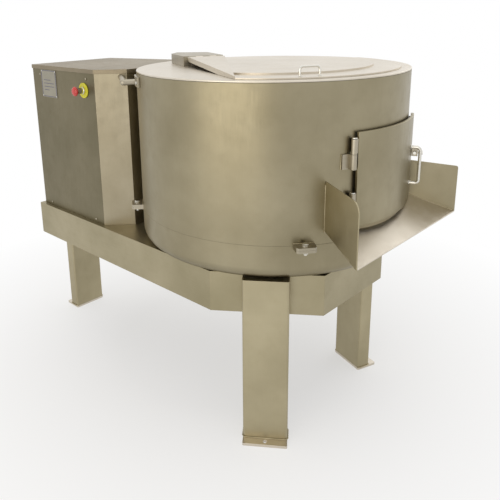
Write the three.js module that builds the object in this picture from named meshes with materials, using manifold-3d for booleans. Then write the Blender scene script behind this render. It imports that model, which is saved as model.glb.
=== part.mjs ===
// Centrifugal drum washer: hollow deck on three legs, vertical drum, hinged lid, side door and chute,
// and a cabinet with the motor. Millimetres, +Z up. Plan positions are taken from the drum's axis and
// heights from the floor; the last lines move the model so that its origin is under its middle.
import * as THREE from 'three';
import * as BufferGeometryUtils from 'three/addons/utils/BufferGeometryUtils.js';
import Module from 'manifold-3d';

const wasm = await Module();
wasm.setup();

// ------------------------------------------------------------------ clearances
const GAP = 0.3; // between pieces that touch or are welded
const RUN = 0.5; // beside a piece that turns or slides

// ------------------------------------------------------------------ driving sizes
const ROUND = 72; // flats round the drum
const DRUM_R = 520;
const DRUM_SHEET = 4;
const DRUM_H = 530; // straight shell, from the seam to the top plate
const DISH_H = 125; // dished bottom, from its flat to the seam
const DISH_KNUCKLE = 45;
const TOP_T = 6;

const DECK_BASE_Z = 478;
const DECK_H = 151;
const DECK_SHEET = 4;
const DECK_FLANGE = 28;
const DECK_TAIL = 520; // how far the deck reaches past the drum's side, under the cabinet
const DECK_FRONT_IN = 47; // deck front, inside the drum's front
const DECK_RIGHT_IN = 88;
const CHAMFER_LONG = 318; // front right corner, cut along the front and along the right side
const CHAMFER_SHORT = 234;
const RIGHT_FACE = 395;
const REAR_CHAMFER_LONG = 349;
const REAR_CHAMFER_SHORT = 125;
const LEFT_FACE = 463;
const COVER_T = 3;

const LEG_W = 160;
const LEG_T = 60;
const LEG_WALL = 5;
const LEG_CORNER = 9;
const FOOT_T = 10;
const FOOT_EXT = 34;
const ANCHOR_R = 7;

const SEAT_T = 5; // flange of the bearing housing, under the drum
const SEAT_R = 240;
const HOUSING_R = 69;
const HOUSING_BORE = 60;
const HOUSING_DROP = 41; // below the deck's top
const HOUSING_RISE = 27; // above the drum's flat bottom
const BEARING_H = 26;
const SHAFT_R = 25;
const SEAL_H = 6;

const ROTOR_R = 488;
const ROTOR_T = 6;
const ROTOR_LIFT = 34; // rotor plate above the drum's flat bottom
const ROTOR_CONE = 26;
const RIB_COUNT = 6;
const RIB_H = 24;
const RIB_T = 14;

const PULLEY_R = 150;
const MOTOR_PULLEY_R = 60;
const BELT_W = 12;
const BELT_T = 9;
const BELT_COUNT = 2;
const BELT_PITCH = 17;
const PULLEY_BASE = 26; // pulleys above the deck's lower edge

const MOTOR_R = 98;
const MOTOR_H = 250;
const MOTOR_FLANGE_R = 124;
const MOTOR_FLANGE_T = 12;
const MOTOR_SHAFT_R = 19;
const MOTOR_IN = 300; // motor axis from the deck's left end

const CABINET_SHEET = 3;
const CABINET_LEFT_IN = 16; // cabinet inside the deck's left end, front and rear
const CABINET_FRONT_IN = 21;
const CABINET_REAR_IN = 16;
const CABINET_DROP = 8; // cabinet top below the drum's top
const CABINET_CORNER = 94; // cut corner beside the drum
const CABINET_LAP = 73; // cabinet side past the drum's left side
const RECESS_GAP = 12;
const COVER_LIP = 14;
const PANEL_FLANGE = 20;

const DOOR_FROM = -20; // degrees round the drum, 0 along +X
const DOOR_TO = 28;
const DOOR_DROP = 169;
const DOOR_H = 321;
const DOOR_T = 11;
const GASKET_T = 7;
const OPENING_IN = 22; // door opening, inside the door's edge
const HINGE_ANGLE = -21.8;
const HINGE_BARREL_R = 10;
const HINGE_PIN_R = 5;
const HINGE_KNUCKLE_H = 50;
const HINGE_END = 20; // hinge barrels from the door's upper and lower edges
const DOOR_HANDLE_ANGLE = 20;
const DOOR_HANDLE_DROP = 180; // handle's middle below the door's top
const DOOR_HANDLE_SPAN = 134;
const DOOR_HANDLE_OUT = 32;
const DOOR_HANDLE_ROD = 6;
const LATCH_ANGLE = 25.5;
const LATCH_ROD = 6;
const LATCH_TRAVEL = 15;

const CHEEK_ANGLE = 31;
const CHEEK_T = 4;
const CHEEK_TOE = 5; // the cheeks close in from the drum's radius by this much
const CHUTE_MOUTH = 617.16; // drum axis to the chute's straight outer edge
const CHEEK_TOP_DROP = 323; // cheek top below the drum's top
const CHEEK_FALL = 14;
const CHEEK_CORNER = 36;
const REAR_CHEEK_CUT = 32; // the rear cheek's top is lower by this much
const REAR_CHEEK_CORNER = 8;
const CHUTE_FLOOR_DROP = 512; // chute floor below the drum's top, at the drum's side
const CHUTE_SLOPE = 0.345;
const FLOOR_T = 4;

const LUG_ANGLE = -39;
const LUG_COUNT = 4;
const LUG_W = 71;
const LUG_OUT = 44;
const LUG_T = 9;
const BOLT_R = 6;

const LID_DIRECTION = -26.7; // from the lid's hinge to its handle
const LID_R = 484;
const LID_T = 4.5;
const LID_CHORD = 296; // straight edge of the lid, from the drum's axis
const LID_HINGE_S = -134; // hinge line, along LID_DIRECTION from the drum's axis
const LID_STEP_R = 385;
const LID_STEP = 6;
const HOOD_W = 150;
const HOOD_RISE = 37; // top of the hood above the drum's top, at its hinge and at its tip
const HOOD_TIP = 10;
const HOOD_SKIRT = 18;
const HOOD_SHEET = 3;
const HATCH_R = 350;
const HATCH_IN = 26;
const LID_AXIS_RISE = 29;
const LID_PIN_R = 5;
const LID_BARREL_R = 10;
const HINGE_BOX_L = 255;
const HINGE_BOX_H = 39;
const LID_HANDLE_SPAN = 66;
const LID_HANDLE_OUT = 30;
const LID_HANDLE_ROD = 4;
const LID_HANDLE_R = 445;

const STOP_PLATE_R = 31.5;
const STOP_PLATE_T = 4;
const STOP_NECK = 29; // collar, out from the yellow plate
const STOP_DROP = 88; // centre below the cabinet's top
const STOP_FROM_CORNER = 77;
const STOP_HEAD_R = 19.5;
const STOP_STEM_R = 7;
const STOP_TRAVEL = 5;
const NAMEPLATE_W = 122;
const NAMEPLATE_H = 120;
const NAMEPLATE_T = 1.5;
const SCREW_R = 5;

const INLET_ANGLE = -122;
const INLET_R = 11;
const INLET_OUT = 52; // bend of the pipe, outside the drum
const INLET_FLANGE_W = 110;
const INLET_FLANGE_H = 38;
const INLET_DROP = 39;
const DRAIN_R = 27;
const DRAIN_LENGTH = 92;
const DRAIN_Y = 400;
const DRAIN_X = 60;

// ------------------------------------------------------------------ sizes that follow
const DECK_TOP_Z = DECK_BASE_Z + DECK_H;
const DRUM_BASE_Z = DECK_TOP_Z + SEAT_T;
const SEAM_Z = DRUM_BASE_Z + DISH_H;
const TOP_PLATE_Z = SEAM_Z + DRUM_H;
const TOP_Z = TOP_PLATE_Z + TOP_T;
const DECK_FRONT = -(DRUM_R - DECK_FRONT_IN);
const DECK_RIGHT = DRUM_R - DECK_RIGHT_IN;
const DECK_LEFT = -(DRUM_R + DECK_TAIL);
const CABINET_TOP_Z = TOP_Z - CABINET_DROP;
const DOOR_TOP_Z = TOP_Z - DOOR_DROP;
const DOOR_BASE_Z = DOOR_TOP_Z - DOOR_H;
const DOOR_IN_R = DRUM_R + GASKET_T;
const DOOR_OUT_R = DOOR_IN_R + DOOR_T;

// deck corners, anticlockwise from the front left
const frontRightY = DECK_FRONT + CHAMFER_SHORT;
const DECK_OUTLINE = [
  [DECK_LEFT, DECK_FRONT],
  [DECK_RIGHT - CHAMFER_LONG, DECK_FRONT],
  [DECK_RIGHT, frontRightY],
  [DECK_RIGHT, frontRightY + RIGHT_FACE],
  [DECK_RIGHT - REAR_CHAMFER_LONG, frontRightY + RIGHT_FACE + REAR_CHAMFER_SHORT],
  [DECK_LEFT, DECK_FRONT + LEFT_FACE],
];
const MOTOR_X = DECK_LEFT + MOTOR_IN;
const MOTOR_Y = DECK_FRONT + LEFT_FACE / 2 + 8;

// ------------------------------------------------------------------ solids
const radians = THREE.MathUtils.degToRad;

function solid(geometry) {
  const bare = geometry.clone();
  bare.deleteAttribute('normal');
  bare.deleteAttribute('uv');
  const merged = BufferGeometryUtils.mergeVertices(bare, 1e-3);
  const index = merged.index.array;
  const kept = [];
  for (let i = 0; i < index.length; i += 3) {
    const [a, b, c] = [index[i], index[i + 1], index[i + 2]];
    if (a !== b && b !== c && c !== a) kept.push(a, b, c);
  }
  const vertProperties = new Float32Array(merged.attributes.position.array);
  return new wasm.Manifold(new wasm.Mesh({ numProp: 3, vertProperties, triVerts: new Uint32Array(kept) }));
}

function geometryOf(manifold) {
  const mesh = manifold.getMesh();
  const geometry = new THREE.BufferGeometry();
  geometry.setAttribute('position', new THREE.BufferAttribute(mesh.vertProperties, 3));
  geometry.setIndex(new THREE.BufferAttribute(mesh.triVerts, 1));
  geometry.computeVertexNormals();
  return geometry;
}

const union = (pieces) => pieces.reduce((all, piece) => all.add(piece));

// upright prism over an outline of [x, y] corners
function prism(outline, z0, z1) {
  const shape = new THREE.Shape(outline.map(([x, y]) => new THREE.Vector2(x, y)));
  const geometry = new THREE.ExtrudeGeometry(shape, { depth: z1 - z0, bevelEnabled: false });
  geometry.translate(0, 0, z0);
  return solid(geometry);
}

function block(x0, x1, y0, y1, z0, z1) {
  const geometry = new THREE.BoxGeometry(x1 - x0, y1 - y0, z1 - z0);
  geometry.translate((x0 + x1) / 2, (y0 + y1) / 2, (z0 + z1) / 2);
  return solid(geometry);
}

// block whose height drifts by slope for each millimetre of x
function slopedBlock(x0, x1, y0, y1, z0, z1, slope, levelX) {
  const geometry = new THREE.BoxGeometry(x1 - x0, y1 - y0, z1 - z0);
  geometry.translate((x0 + x1) / 2, (y0 + y1) / 2, (z0 + z1) / 2);
  shearUp(geometry, slope, levelX);
  return solid(geometry);
}

function shearUp(geometry, slope, levelX) {
  const shear = new THREE.Matrix4().set(1, 0, 0, 0, 0, 1, 0, 0, slope, 0, 1, -slope * levelX, 0, 0, 0, 1);
  geometry.applyMatrix4(shear);
}

// solid of revolution about Z; the profile runs anticlockwise in (radius, height)
function turned(profile, segments = 36) {
  const points = profile.map(([r, z]) => new THREE.Vector2(r, z));
  const onAxis = profile[0][0] === 0 && profile[profile.length - 1][0] === 0;
  if (!onAxis) points.push(points[0].clone());
  const geometry = new THREE.LatheGeometry(points, segments);
  geometry.rotateX(Math.PI / 2);
  return solid(geometry);
}

const disc = (r, z0, z1, segments = 36) => turned([[0, z0], [r, z0], [r, z1], [0, z1]], segments);
const ring = (r0, r1, z0, z1, segments = 36) => turned([[r0, z0], [r1, z0], [r1, z1], [r0, z1]], segments);

// points on an arc about the drum's axis, angles in degrees
function arc(r, from, to, steps) {
  const points = [];
  for (let i = 0; i <= steps; i += 1) {
    const a = radians(from + ((to - from) * i) / steps);
    points.push([r * Math.cos(a), r * Math.sin(a)]);
  }
  return points;
}

// curved plate round the drum
function shellPatch(r0, r1, from, to, z0, z1, steps = 16) {
  return prism([...arc(r1, from, to, steps), ...arc(r0, to, from, steps)], z0, z1);
}

function rounded(x0, x1, y0, y1, r, steps = 4) {
  const corners = [[x1 - r, y0 + r, -90], [x1 - r, y1 - r, 0], [x0 + r, y1 - r, 90], [x0 + r, y0 + r, 180]];
  const points = [];
  for (const [cx, cy, start] of corners) {
    for (const [x, y] of arc(r, start, start + 90, steps)) points.push([cx + x, cy + y]);
  }
  return points;
}

// round rod between two points
function rod(from, to, r, segments = 16) {
  const a = new THREE.Vector3(...from);
  const b = new THREE.Vector3(...to);
  const geometry = new THREE.CylinderGeometry(r, r, a.distanceTo(b), segments);
  const turn = new THREE.Quaternion().setFromUnitVectors(
    new THREE.Vector3(0, 1, 0), b.clone().sub(a).normalize());
  geometry.applyQuaternion(turn);
  geometry.translate(...a.add(b).multiplyScalar(0.5));
  return solid(geometry);
}

// round rod bent along straight runs with curved corners
function bentRod(corners, bend, r, steps = 20) {
  const path = new THREE.CurvePath();
  const points = corners.map((p) => new THREE.Vector3(...p));
  let start = points[0];
  for (let i = 1; i < points.length - 1; i += 1) {
    const before = points[i - 1].clone().sub(points[i]).setLength(bend).add(points[i]);
    const after = points[i + 1].clone().sub(points[i]).setLength(bend).add(points[i]);
    path.add(new THREE.LineCurve3(start, before));
    path.add(new THREE.QuadraticBezierCurve3(before, points[i], after));
    start = after;
  }
  path.add(new THREE.LineCurve3(start, points[points.length - 1]));
  const section = new THREE.Shape(arc(r, 0, 324, 9).map(([x, y]) => new THREE.Vector2(x, y)));
  const geometry = new THREE.ExtrudeGeometry(section, { steps, extrudePath: path, bevelEnabled: false });
  return solid(geometry);
}

// outline moved inwards by a distance, for an outline that bulges everywhere
function inset(outline, distance) {
  const count = outline.length;
  return outline.map((corner, i) => {
    const before = outline[(i + count - 1) % count];
    const after = outline[(i + 1) % count];
    return crossing(offsetLine(before, corner, distance), offsetLine(corner, after, distance));
  });
}

// line through two points of an anticlockwise outline, moved inwards, as [nx, ny, c] with n outwards
function offsetLine([ax, ay], [bx, by], distance) {
  const length = Math.hypot(bx - ax, by - ay);
  const nx = (by - ay) / length;
  const ny = -(bx - ax) / length;
  return [nx, ny, nx * ax + ny * ay - distance];
}

function crossing([a, b, e], [c, d, f]) {
  const det = a * d - b * c;
  return [(e * d - b * f) / det, (a * f - e * c) / det];
}

// ------------------------------------------------------------------ finishes
const finish = (color, roughness, metalness) => new THREE.MeshStandardMaterial({ color, roughness, metalness });
const brushed = finish(0xb3ab9a, 0.35, 1.0);
const satin = finish(0xc4bdae, 0.3, 1.0);
const dark = finish(0x77715f, 0.45, 1.0);
const chrome = finish(0xd9d7d0, 0.15, 1.0);
const castIron = finish(0x50524f, 0.6, 0.6);
const paint = finish(0x4a5a63, 0.5, 0.1);
const rubber = finish(0x1c1c1b, 0.85, 0.0);
const redPlastic = finish(0xb5201f, 0.35, 0.0);
const yellowPlastic = finish(0xd9b62a, 0.45, 0.0);
const aluminium = finish(0xc9c9c4, 0.4, 1.0);

const washer = new THREE.Group();

function add(name, manifold, material) {
  const mesh = new THREE.Mesh(geometryOf(manifold), material);
  mesh.name = name;
  washer.add(mesh);
  return mesh;
}

// place a piece built in a frame whose x runs outwards at an angle about the drum's axis
function turnedBy(mesh, angle) {
  mesh.rotation.z = radians(angle);
  return mesh;
}

// ------------------------------------------------------------------ deck
function deckShell() {
  const outer = prism(DECK_OUTLINE, DECK_BASE_Z, DECK_TOP_Z);
  const inner = prism(inset(DECK_OUTLINE, DECK_SHEET), DECK_BASE_Z - 1, DECK_TOP_Z - DECK_SHEET);
  const flangeZ = DECK_BASE_Z + COVER_T + GAP;
  const flangeOut = prism(inset(DECK_OUTLINE, DECK_SHEET / 2), flangeZ, flangeZ + DECK_SHEET);
  const flangeIn = prism(inset(DECK_OUTLINE, DECK_FLANGE), flangeZ - 1, flangeZ + DECK_SHEET + 1);
  const housingHole = disc(HOUSING_R + RUN, DECK_TOP_Z - 20, DECK_TOP_Z + 20);
  const motorHole = disc(MOTOR_PULLEY_R + 12, DECK_TOP_Z - 20, DECK_TOP_Z + 20).translate([MOTOR_X, MOTOR_Y, 0]);
  return outer.subtract(inner).add(flangeOut.subtract(flangeIn)).subtract(housingHole).subtract(motorHole);
}
add('deck_shell', deckShell(), brushed);
const coverOutline = inset(DECK_OUTLINE, DECK_SHEET + GAP);
add('deck_bottom_cover', prism(coverOutline, DECK_BASE_Z, DECK_BASE_Z + COVER_T), dark);

// each leg stands against the middle of a deck face; its own x runs along that face
const LEG_FACES = { left: 5, front: 1, rear: 3 };

function placeAtFace(mesh, faceIndex) {
  const [ax, ay] = DECK_OUTLINE[faceIndex];
  const [bx, by] = DECK_OUTLINE[(faceIndex + 1) % DECK_OUTLINE.length];
  mesh.position.set((ax + bx) / 2, (ay + by) / 2, 0);
  mesh.rotation.z = Math.atan2(by - ay, bx - ax);
}

function leg() {
  const half = LEG_W / 2;
  const outline = rounded(-half, half, -GAP - LEG_T, -GAP, LEG_CORNER);
  const hollow = rounded(-half + LEG_WALL, half - LEG_WALL, -GAP - LEG_T + LEG_WALL, -GAP - LEG_WALL,
    LEG_CORNER - LEG_WALL / 2);
  const top = DECK_TOP_Z - GAP;
  return prism(outline, FOOT_T + GAP, top).subtract(prism(hollow, 0, top - LEG_WALL));
}

function footPlate() {
  const half = LEG_W / 2;
  const outer = -GAP - LEG_T - FOOT_EXT;
  const hole = disc(ANCHOR_R, -1, FOOT_T + 1, 20).translate([0, outer + FOOT_EXT / 2, 0]);
  return prism(rounded(-half, half, outer, -GAP, 5), 0, FOOT_T).subtract(hole);
}

for (const [place, face] of Object.entries(LEG_FACES)) {
  placeAtFace(add(`leg_${place}`, leg(), brushed), face);
  placeAtFace(add(`foot_plate_${place}`, footPlate(), dark), face);
}

// ------------------------------------------------------------------ spindle and bearings
function bearingHousing() {
  const flangeTop = DRUM_BASE_Z - GAP;
  const rise = DRUM_BASE_Z + HOUSING_RISE;
  return turned([
    [HOUSING_BORE, DECK_TOP_Z - HOUSING_DROP], [HOUSING_R, DECK_TOP_Z - HOUSING_DROP],
    [HOUSING_R, DECK_TOP_Z + GAP], [SEAT_R, DECK_TOP_Z + GAP], [SEAT_R, flangeTop],
    [HOUSING_R, flangeTop], [HOUSING_R, rise], [HOUSING_BORE, rise],
  ]);
}
add('bearing_housing', bearingHousing(), castIron);

const housingBase = DECK_TOP_Z - HOUSING_DROP;
const housingTop = DRUM_BASE_Z + HOUSING_RISE;
const raceIn = SHAFT_R + GAP;
const raceOut = HOUSING_BORE - GAP;
add('lower_bearing', ring(raceIn, raceOut, housingBase, housingBase + BEARING_H, 32), chrome);
const upperBearingTop = housingTop - SEAL_H - GAP;
add('upper_bearing', ring(raceIn, raceOut, upperBearingTop - BEARING_H, upperBearingTop, 32), chrome);
add('shaft_seal', ring(raceIn, raceOut, housingTop - SEAL_H, housingTop, 32), rubber);

const rotorZ = DRUM_BASE_Z + ROTOR_LIFT;
const pulleyZ = DECK_BASE_Z + PULLEY_BASE;
const pulleyH = BELT_COUNT * BELT_PITCH + 8;
const hubTop = rotorZ + ROTOR_CONE - GAP;
add('rotor_shaft', disc(SHAFT_R, pulleyZ - 6, hubTop, 32), chrome);

// ribbed plate that throws the load round; a cone rises to the hub over the spindle
function rotorPlate() {
  const hubR = SHAFT_R + 35;
  const coneR = 150;
  const t = ROTOR_T;
  return turned([
    [0, rotorZ + ROTOR_CONE], [SHAFT_R + GAP, rotorZ + ROTOR_CONE], [SHAFT_R + GAP, rotorZ],
    [hubR, rotorZ], [hubR, rotorZ + ROTOR_CONE - 6], [coneR, rotorZ], [ROTOR_R, rotorZ],
    [ROTOR_R, rotorZ + t], [coneR, rotorZ + t], [hubR, rotorZ + ROTOR_CONE + t],
    [0, rotorZ + ROTOR_CONE + t],
  ], 40);
}
const ribZ = rotorZ + ROTOR_T / 2;
const rib = prism(rounded(170, ROTOR_R - 14, -RIB_T / 2, RIB_T / 2, 5), ribZ, ribZ + RIB_H);
const ribs = Array.from({ length: RIB_COUNT }, (_, i) => rib.rotate([0, 0, (360 / RIB_COUNT) * i + 15]));
add('rotor_plate', union([rotorPlate(), ...ribs]), satin);

// ------------------------------------------------------------------ belt drive
function pulley(radius, bore, faceH) {
  const depth = BELT_T + 2;
  const points = [[bore, 0], [radius, 0]];
  for (let i = 0; i < BELT_COUNT; i += 1) {
    const middle = faceH / 2 + (i - (BELT_COUNT - 1) / 2) * BELT_PITCH;
    const wide = BELT_W / 2 + 1.5;
    const narrow = BELT_W / 2 - 1;
    points.push([radius, middle - wide], [radius - depth, middle - narrow]);
    points.push([radius - depth, middle + narrow], [radius, middle + wide]);
  }
  points.push([radius, faceH], [bore, faceH]);
  return turned(points, 24);
}
add('driven_pulley', pulley(PULLEY_R, SHAFT_R + GAP, pulleyH).translate([0, 0, pulleyZ]), castIron);
const motorPulley = pulley(MOTOR_PULLEY_R, MOTOR_SHAFT_R + GAP, pulleyH).translate([MOTOR_X, MOTOR_Y, pulleyZ]);
add('motor_pulley', motorPulley, castIron);

// V-section loop round both pulleys
function belt(middleZ) {
  const distance = Math.hypot(MOTOR_X, MOTOR_Y);
  const loop = (rDriven, rMotor) => {
    const lean = THREE.MathUtils.radToDeg(Math.acos((rDriven - rMotor) / distance));
    const big = arc(rDriven, lean, 360 - lean, 28);
    const small = arc(rMotor, -lean, lean, 16).map(([x, y]) => [x + distance, y]);
    return [...big, ...small];
  };
  const vee = (inside) => {
    const half = BELT_W / 2 - 1.2;
    return prism(loop(PULLEY_R - inside, MOTOR_PULLEY_R - inside), -half, half);
  };
  const inner = prism(loop(PULLEY_R - BELT_T, MOTOR_PULLEY_R - BELT_T), -BELT_W, BELT_W);
  const angle = THREE.MathUtils.radToDeg(Math.atan2(MOTOR_Y, MOTOR_X));
  return vee(0).subtract(inner).rotate([0, 0, angle]).translate([0, 0, middleZ]);
}
for (let i = 0; i < BELT_COUNT; i += 1) {
  const middle = pulleyZ + pulleyH / 2 + (i - (BELT_COUNT - 1) / 2) * BELT_PITCH;
  add(`drive_belt_${i + 1}`, belt(middle), rubber);
}

// ------------------------------------------------------------------ motor
const motorBase = DECK_TOP_Z + GAP;
function motorBody() {
  const bore = MOTOR_SHAFT_R + RUN;
  const flangeTop = motorBase + MOTOR_FLANGE_T;
  const top = motorBase + MOTOR_H;
  const body = turned([
    [bore, motorBase], [MOTOR_FLANGE_R, motorBase], [MOTOR_FLANGE_R, flangeTop], [MOTOR_R - 8, flangeTop],
    [MOTOR_R, flangeTop + 14], [MOTOR_R, top - 44], [MOTOR_R - 4, top - 40], [MOTOR_R - 4, top - 18],
    [MOTOR_R - 18, top], [0, top], [0, top - 30], [bore, top - 30],
  ], 28);
  const fins = [];
  for (let i = 0; i < 8; i += 1) {
    const fin = block(MOTOR_R - 3, MOTOR_R + 9, -2.5, 2.5, flangeTop + 24, top - 54);
    fins.push(fin.rotate([0, 0, 22.5 + i * 45]));
  }
  const terminalBox = block(MOTOR_R - 12, MOTOR_R + 34, -42, 42, flangeTop + 70, flangeTop + 150);
  return union([body, terminalBox, ...fins]).rotate([0, 0, 180]).translate([MOTOR_X, MOTOR_Y, 0]);
}
add('motor_body', motorBody(), paint);
const motorShaftTop = motorBase + MOTOR_H - 30 - RUN;
const motorShaft = disc(MOTOR_SHAFT_R, pulleyZ - 4, motorShaftTop, 24).translate([MOTOR_X, MOTOR_Y, 0]);
add('motor_shaft', motorShaft, chrome);

// ------------------------------------------------------------------ drum
const openingFrom = DOOR_FROM + THREE.MathUtils.radToDeg(OPENING_IN / DRUM_R);
const openingTo = DOOR_TO - THREE.MathUtils.radToDeg(OPENING_IN / DRUM_R);
const inletZ = TOP_Z - INLET_DROP;
const inletAt = (r) => [r * Math.cos(radians(INLET_ANGLE)), r * Math.sin(radians(INLET_ANGLE)), inletZ];

// pairs of lugs, welded on, that clamp the two halves of the drum together
function lug(z0) {
  const inR = DRUM_R - DRUM_SHEET / 2;
  const half = LUG_W / 2;
  const spread = THREE.MathUtils.radToDeg(half / DRUM_R);
  const outline = [...arc(inR, spread, -spread, 4),
    [DRUM_R + LUG_OUT - 6, -half + 3], [DRUM_R + LUG_OUT, -half + 9],
    [DRUM_R + LUG_OUT, half - 9], [DRUM_R + LUG_OUT - 6, half - 3]];
  const hole = disc(BOLT_R + GAP, z0 - 2, z0 + LUG_T + 2, 16).translate([DRUM_R + LUG_OUT / 2, 0, 0]);
  return prism(outline, z0, z0 + LUG_T).subtract(hole);
}
function lugBolt() {
  const top = SEAM_Z + GAP + LUG_T + GAP;
  const base = SEAM_Z - LUG_T - GAP;
  const shank = disc(BOLT_R, base - 14, top + 1, 16);
  const head = disc(11, top, top + 8, 6);
  const nut = disc(11, base - 10, base, 6);
  return union([shank, head, nut]).translate([DRUM_R + LUG_OUT / 2, 0, 0]);
}
const lugAngles = Array.from({ length: LUG_COUNT }, (_, i) => LUG_ANGLE + (360 / LUG_COUNT) * i);
const withLugs = (drumHalf, z0) => union([drumHalf, ...lugAngles.map((a) => lug(z0).rotate([0, 0, a]))]);
lugAngles.forEach((angle, i) => turnedBy(add(`lug_bolt_${i + 1}`, lugBolt(), chrome), angle));

function drumShell() {
  const wall = ring(DRUM_R - DRUM_SHEET, DRUM_R, SEAM_Z + GAP, TOP_PLATE_Z - GAP, ROUND);
  const opening = shellPatch(DRUM_R - 30, DRUM_R + 30, openingFrom, openingTo,
    DOOR_BASE_Z + OPENING_IN, DOOR_TOP_Z - OPENING_IN);
  return wall.subtract(opening).subtract(rod(inletAt(DRUM_R - 50), inletAt(DRUM_R + 50), INLET_R + RUN, 20));
}
add('drum_shell', withLugs(drumShell(), SEAM_Z + GAP), brushed);

function drumBottom() {
  const outer = [];
  const inner = [];
  for (let i = 0; i <= 3; i += 1) {
    const a = radians(-90 + 30 * i);
    const centre = [DRUM_R - DISH_KNUCKLE, DRUM_BASE_Z + DISH_KNUCKLE];
    const innerR = DISH_KNUCKLE - DRUM_SHEET;
    outer.push([centre[0] + DISH_KNUCKLE * Math.cos(a), centre[1] + DISH_KNUCKLE * Math.sin(a)]);
    inner.unshift([centre[0] + innerR * Math.cos(a), centre[1] + innerR * Math.sin(a)]);
  }
  const hole = HOUSING_R + RUN;
  const profile = [[hole, DRUM_BASE_Z], ...outer, [DRUM_R, SEAM_Z], [DRUM_R - DRUM_SHEET, SEAM_Z],
    ...inner, [hole, DRUM_BASE_Z + DRUM_SHEET]];
  const drain = disc(DRAIN_R - 3, DRUM_BASE_Z - 5, DRUM_BASE_Z + 10, 24).translate([DRAIN_X, DRAIN_Y, 0]);
  return turned(profile, ROUND).subtract(drain);
}
add('drum_bottom', withLugs(drumBottom(), SEAM_Z - LUG_T), brushed);

const drainTop = DRUM_BASE_Z - GAP;
const drain = turned([
  [DRAIN_R - 3, drainTop - DRAIN_LENGTH], [DRAIN_R, drainTop - DRAIN_LENGTH], [DRAIN_R, drainTop - 5],
  [DRAIN_R + 12, drainTop - 5], [DRAIN_R + 12, drainTop], [DRAIN_R - 3, drainTop],
], 28);
add('drain_outlet', drain.translate([DRAIN_X, DRAIN_Y, 0]), satin);

// ------------------------------------------------------------------ top plate, lid and lid hinge
// in the lid's own frame x runs from the hinge to the handle and the straight edge lies at y = -LID_CHORD
const HUGE = 2000;
const keepLidSide = (fromX, fromY) => block(fromX, HUGE, fromY, HUGE, -HUGE, HUGE);
const toLid = (mesh) => turnedBy(mesh, LID_DIRECTION);

function topPlate() {
  const plate = disc(DRUM_R, TOP_PLATE_Z, TOP_Z, ROUND);
  const hatch = disc(HATCH_R, TOP_PLATE_Z - 5, TOP_Z + 5, 72)
    .intersect(keepLidSide(LID_HINGE_S + HATCH_IN, -LID_CHORD + HATCH_IN));
  return plate.subtract(hatch);
}
toLid(add('top_plate', topPlate(), satin));

const hoodFrom = LID_HINGE_S + LID_BARREL_R + RUN;
const hoodTo = Math.sqrt(LID_R ** 2 - LID_CHORD ** 2);
const hoodSlope = (HOOD_TIP - HOOD_RISE) / (hoodTo - hoodFrom);
const lidZ = TOP_Z + RUN;

function lid() {
  const ledge = [[hoodFrom, -LID_CHORD], [hoodTo, -LID_CHORD], [hoodFrom, -LID_CHORD + HOOD_W]];
  const under = inset(ledge, HOOD_SHEET);
  const ceiling = slopedBlock(-HUGE, HUGE, -HUGE, HUGE, -HUGE, TOP_Z + HOOD_RISE, hoodSlope, hoodFrom);
  const ceilingIn = ceiling.translate([0, 0, -HOOD_SHEET]);
  const outer = prism(ledge, lidZ, TOP_Z + 2 * HOOD_RISE).intersect(ceiling);
  const inner = prism(under, lidZ - 5, TOP_Z + 2 * HOOD_RISE).intersect(ceilingIn);
  const gapTop = TOP_Z + HOOD_RISE - HOOD_SKIRT;
  const gap = slopedBlock(-HUGE, HUGE, -LID_CHORD - 9, -LID_CHORD + 9, TOP_Z - 90, gapTop, hoodSlope, hoodFrom);
  const hood = outer.subtract(inner).subtract(gap);
  const sheet = disc(LID_R, lidZ, lidZ + LID_T, ROUND).intersect(keepLidSide(hoodFrom, -LID_CHORD));
  const step = disc(LID_STEP_R, lidZ + LID_T - 1, lidZ + LID_T + LID_STEP, 72)
    .intersect(keepLidSide(hoodFrom, -LID_CHORD));
  const stepIn = disc(LID_STEP_R - 4, lidZ - 1, lidZ + LID_T + LID_STEP - 4, 72)
    .intersect(keepLidSide(hoodFrom + 4, -LID_CHORD + 4));
  const flat = sheet.add(step).subtract(stepIn).subtract(prism(ledge, lidZ - 9, TOP_Z + 99));
  return union([flat, hood, lidKnuckles()]);
}

// barrels on the lid turn on a pin that the fixed barrels of the hinge box hold
const axisZ = TOP_Z + LID_AXIS_RISE;
const hingeY0 = -LID_CHORD + 4;
const knuckleL = (HOOD_W - 8) / 5;

function lidBarrel(index) {
  const y0 = hingeY0 + index * knuckleL + GAP;
  const y1 = hingeY0 + (index + 1) * knuckleL - GAP;
  const bore = rod([LID_HINGE_S, y0 - 5, axisZ], [LID_HINGE_S, y1 + 5, axisZ], LID_PIN_R + RUN);
  return { y0, y1, bore, barrel: rod([LID_HINGE_S, y0, axisZ], [LID_HINGE_S, y1, axisZ], LID_BARREL_R, 20) };
}
function lidKnuckles() {
  return union([1, 3].map((i) => {
    const { y0, y1, bore, barrel } = lidBarrel(i);
    const tab = block(LID_HINGE_S, hoodFrom + 2, y0, y1, axisZ - 4, axisZ + 4);
    return barrel.add(tab).subtract(bore);
  }));
}
toLid(add('lid', lid(), satin));

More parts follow.
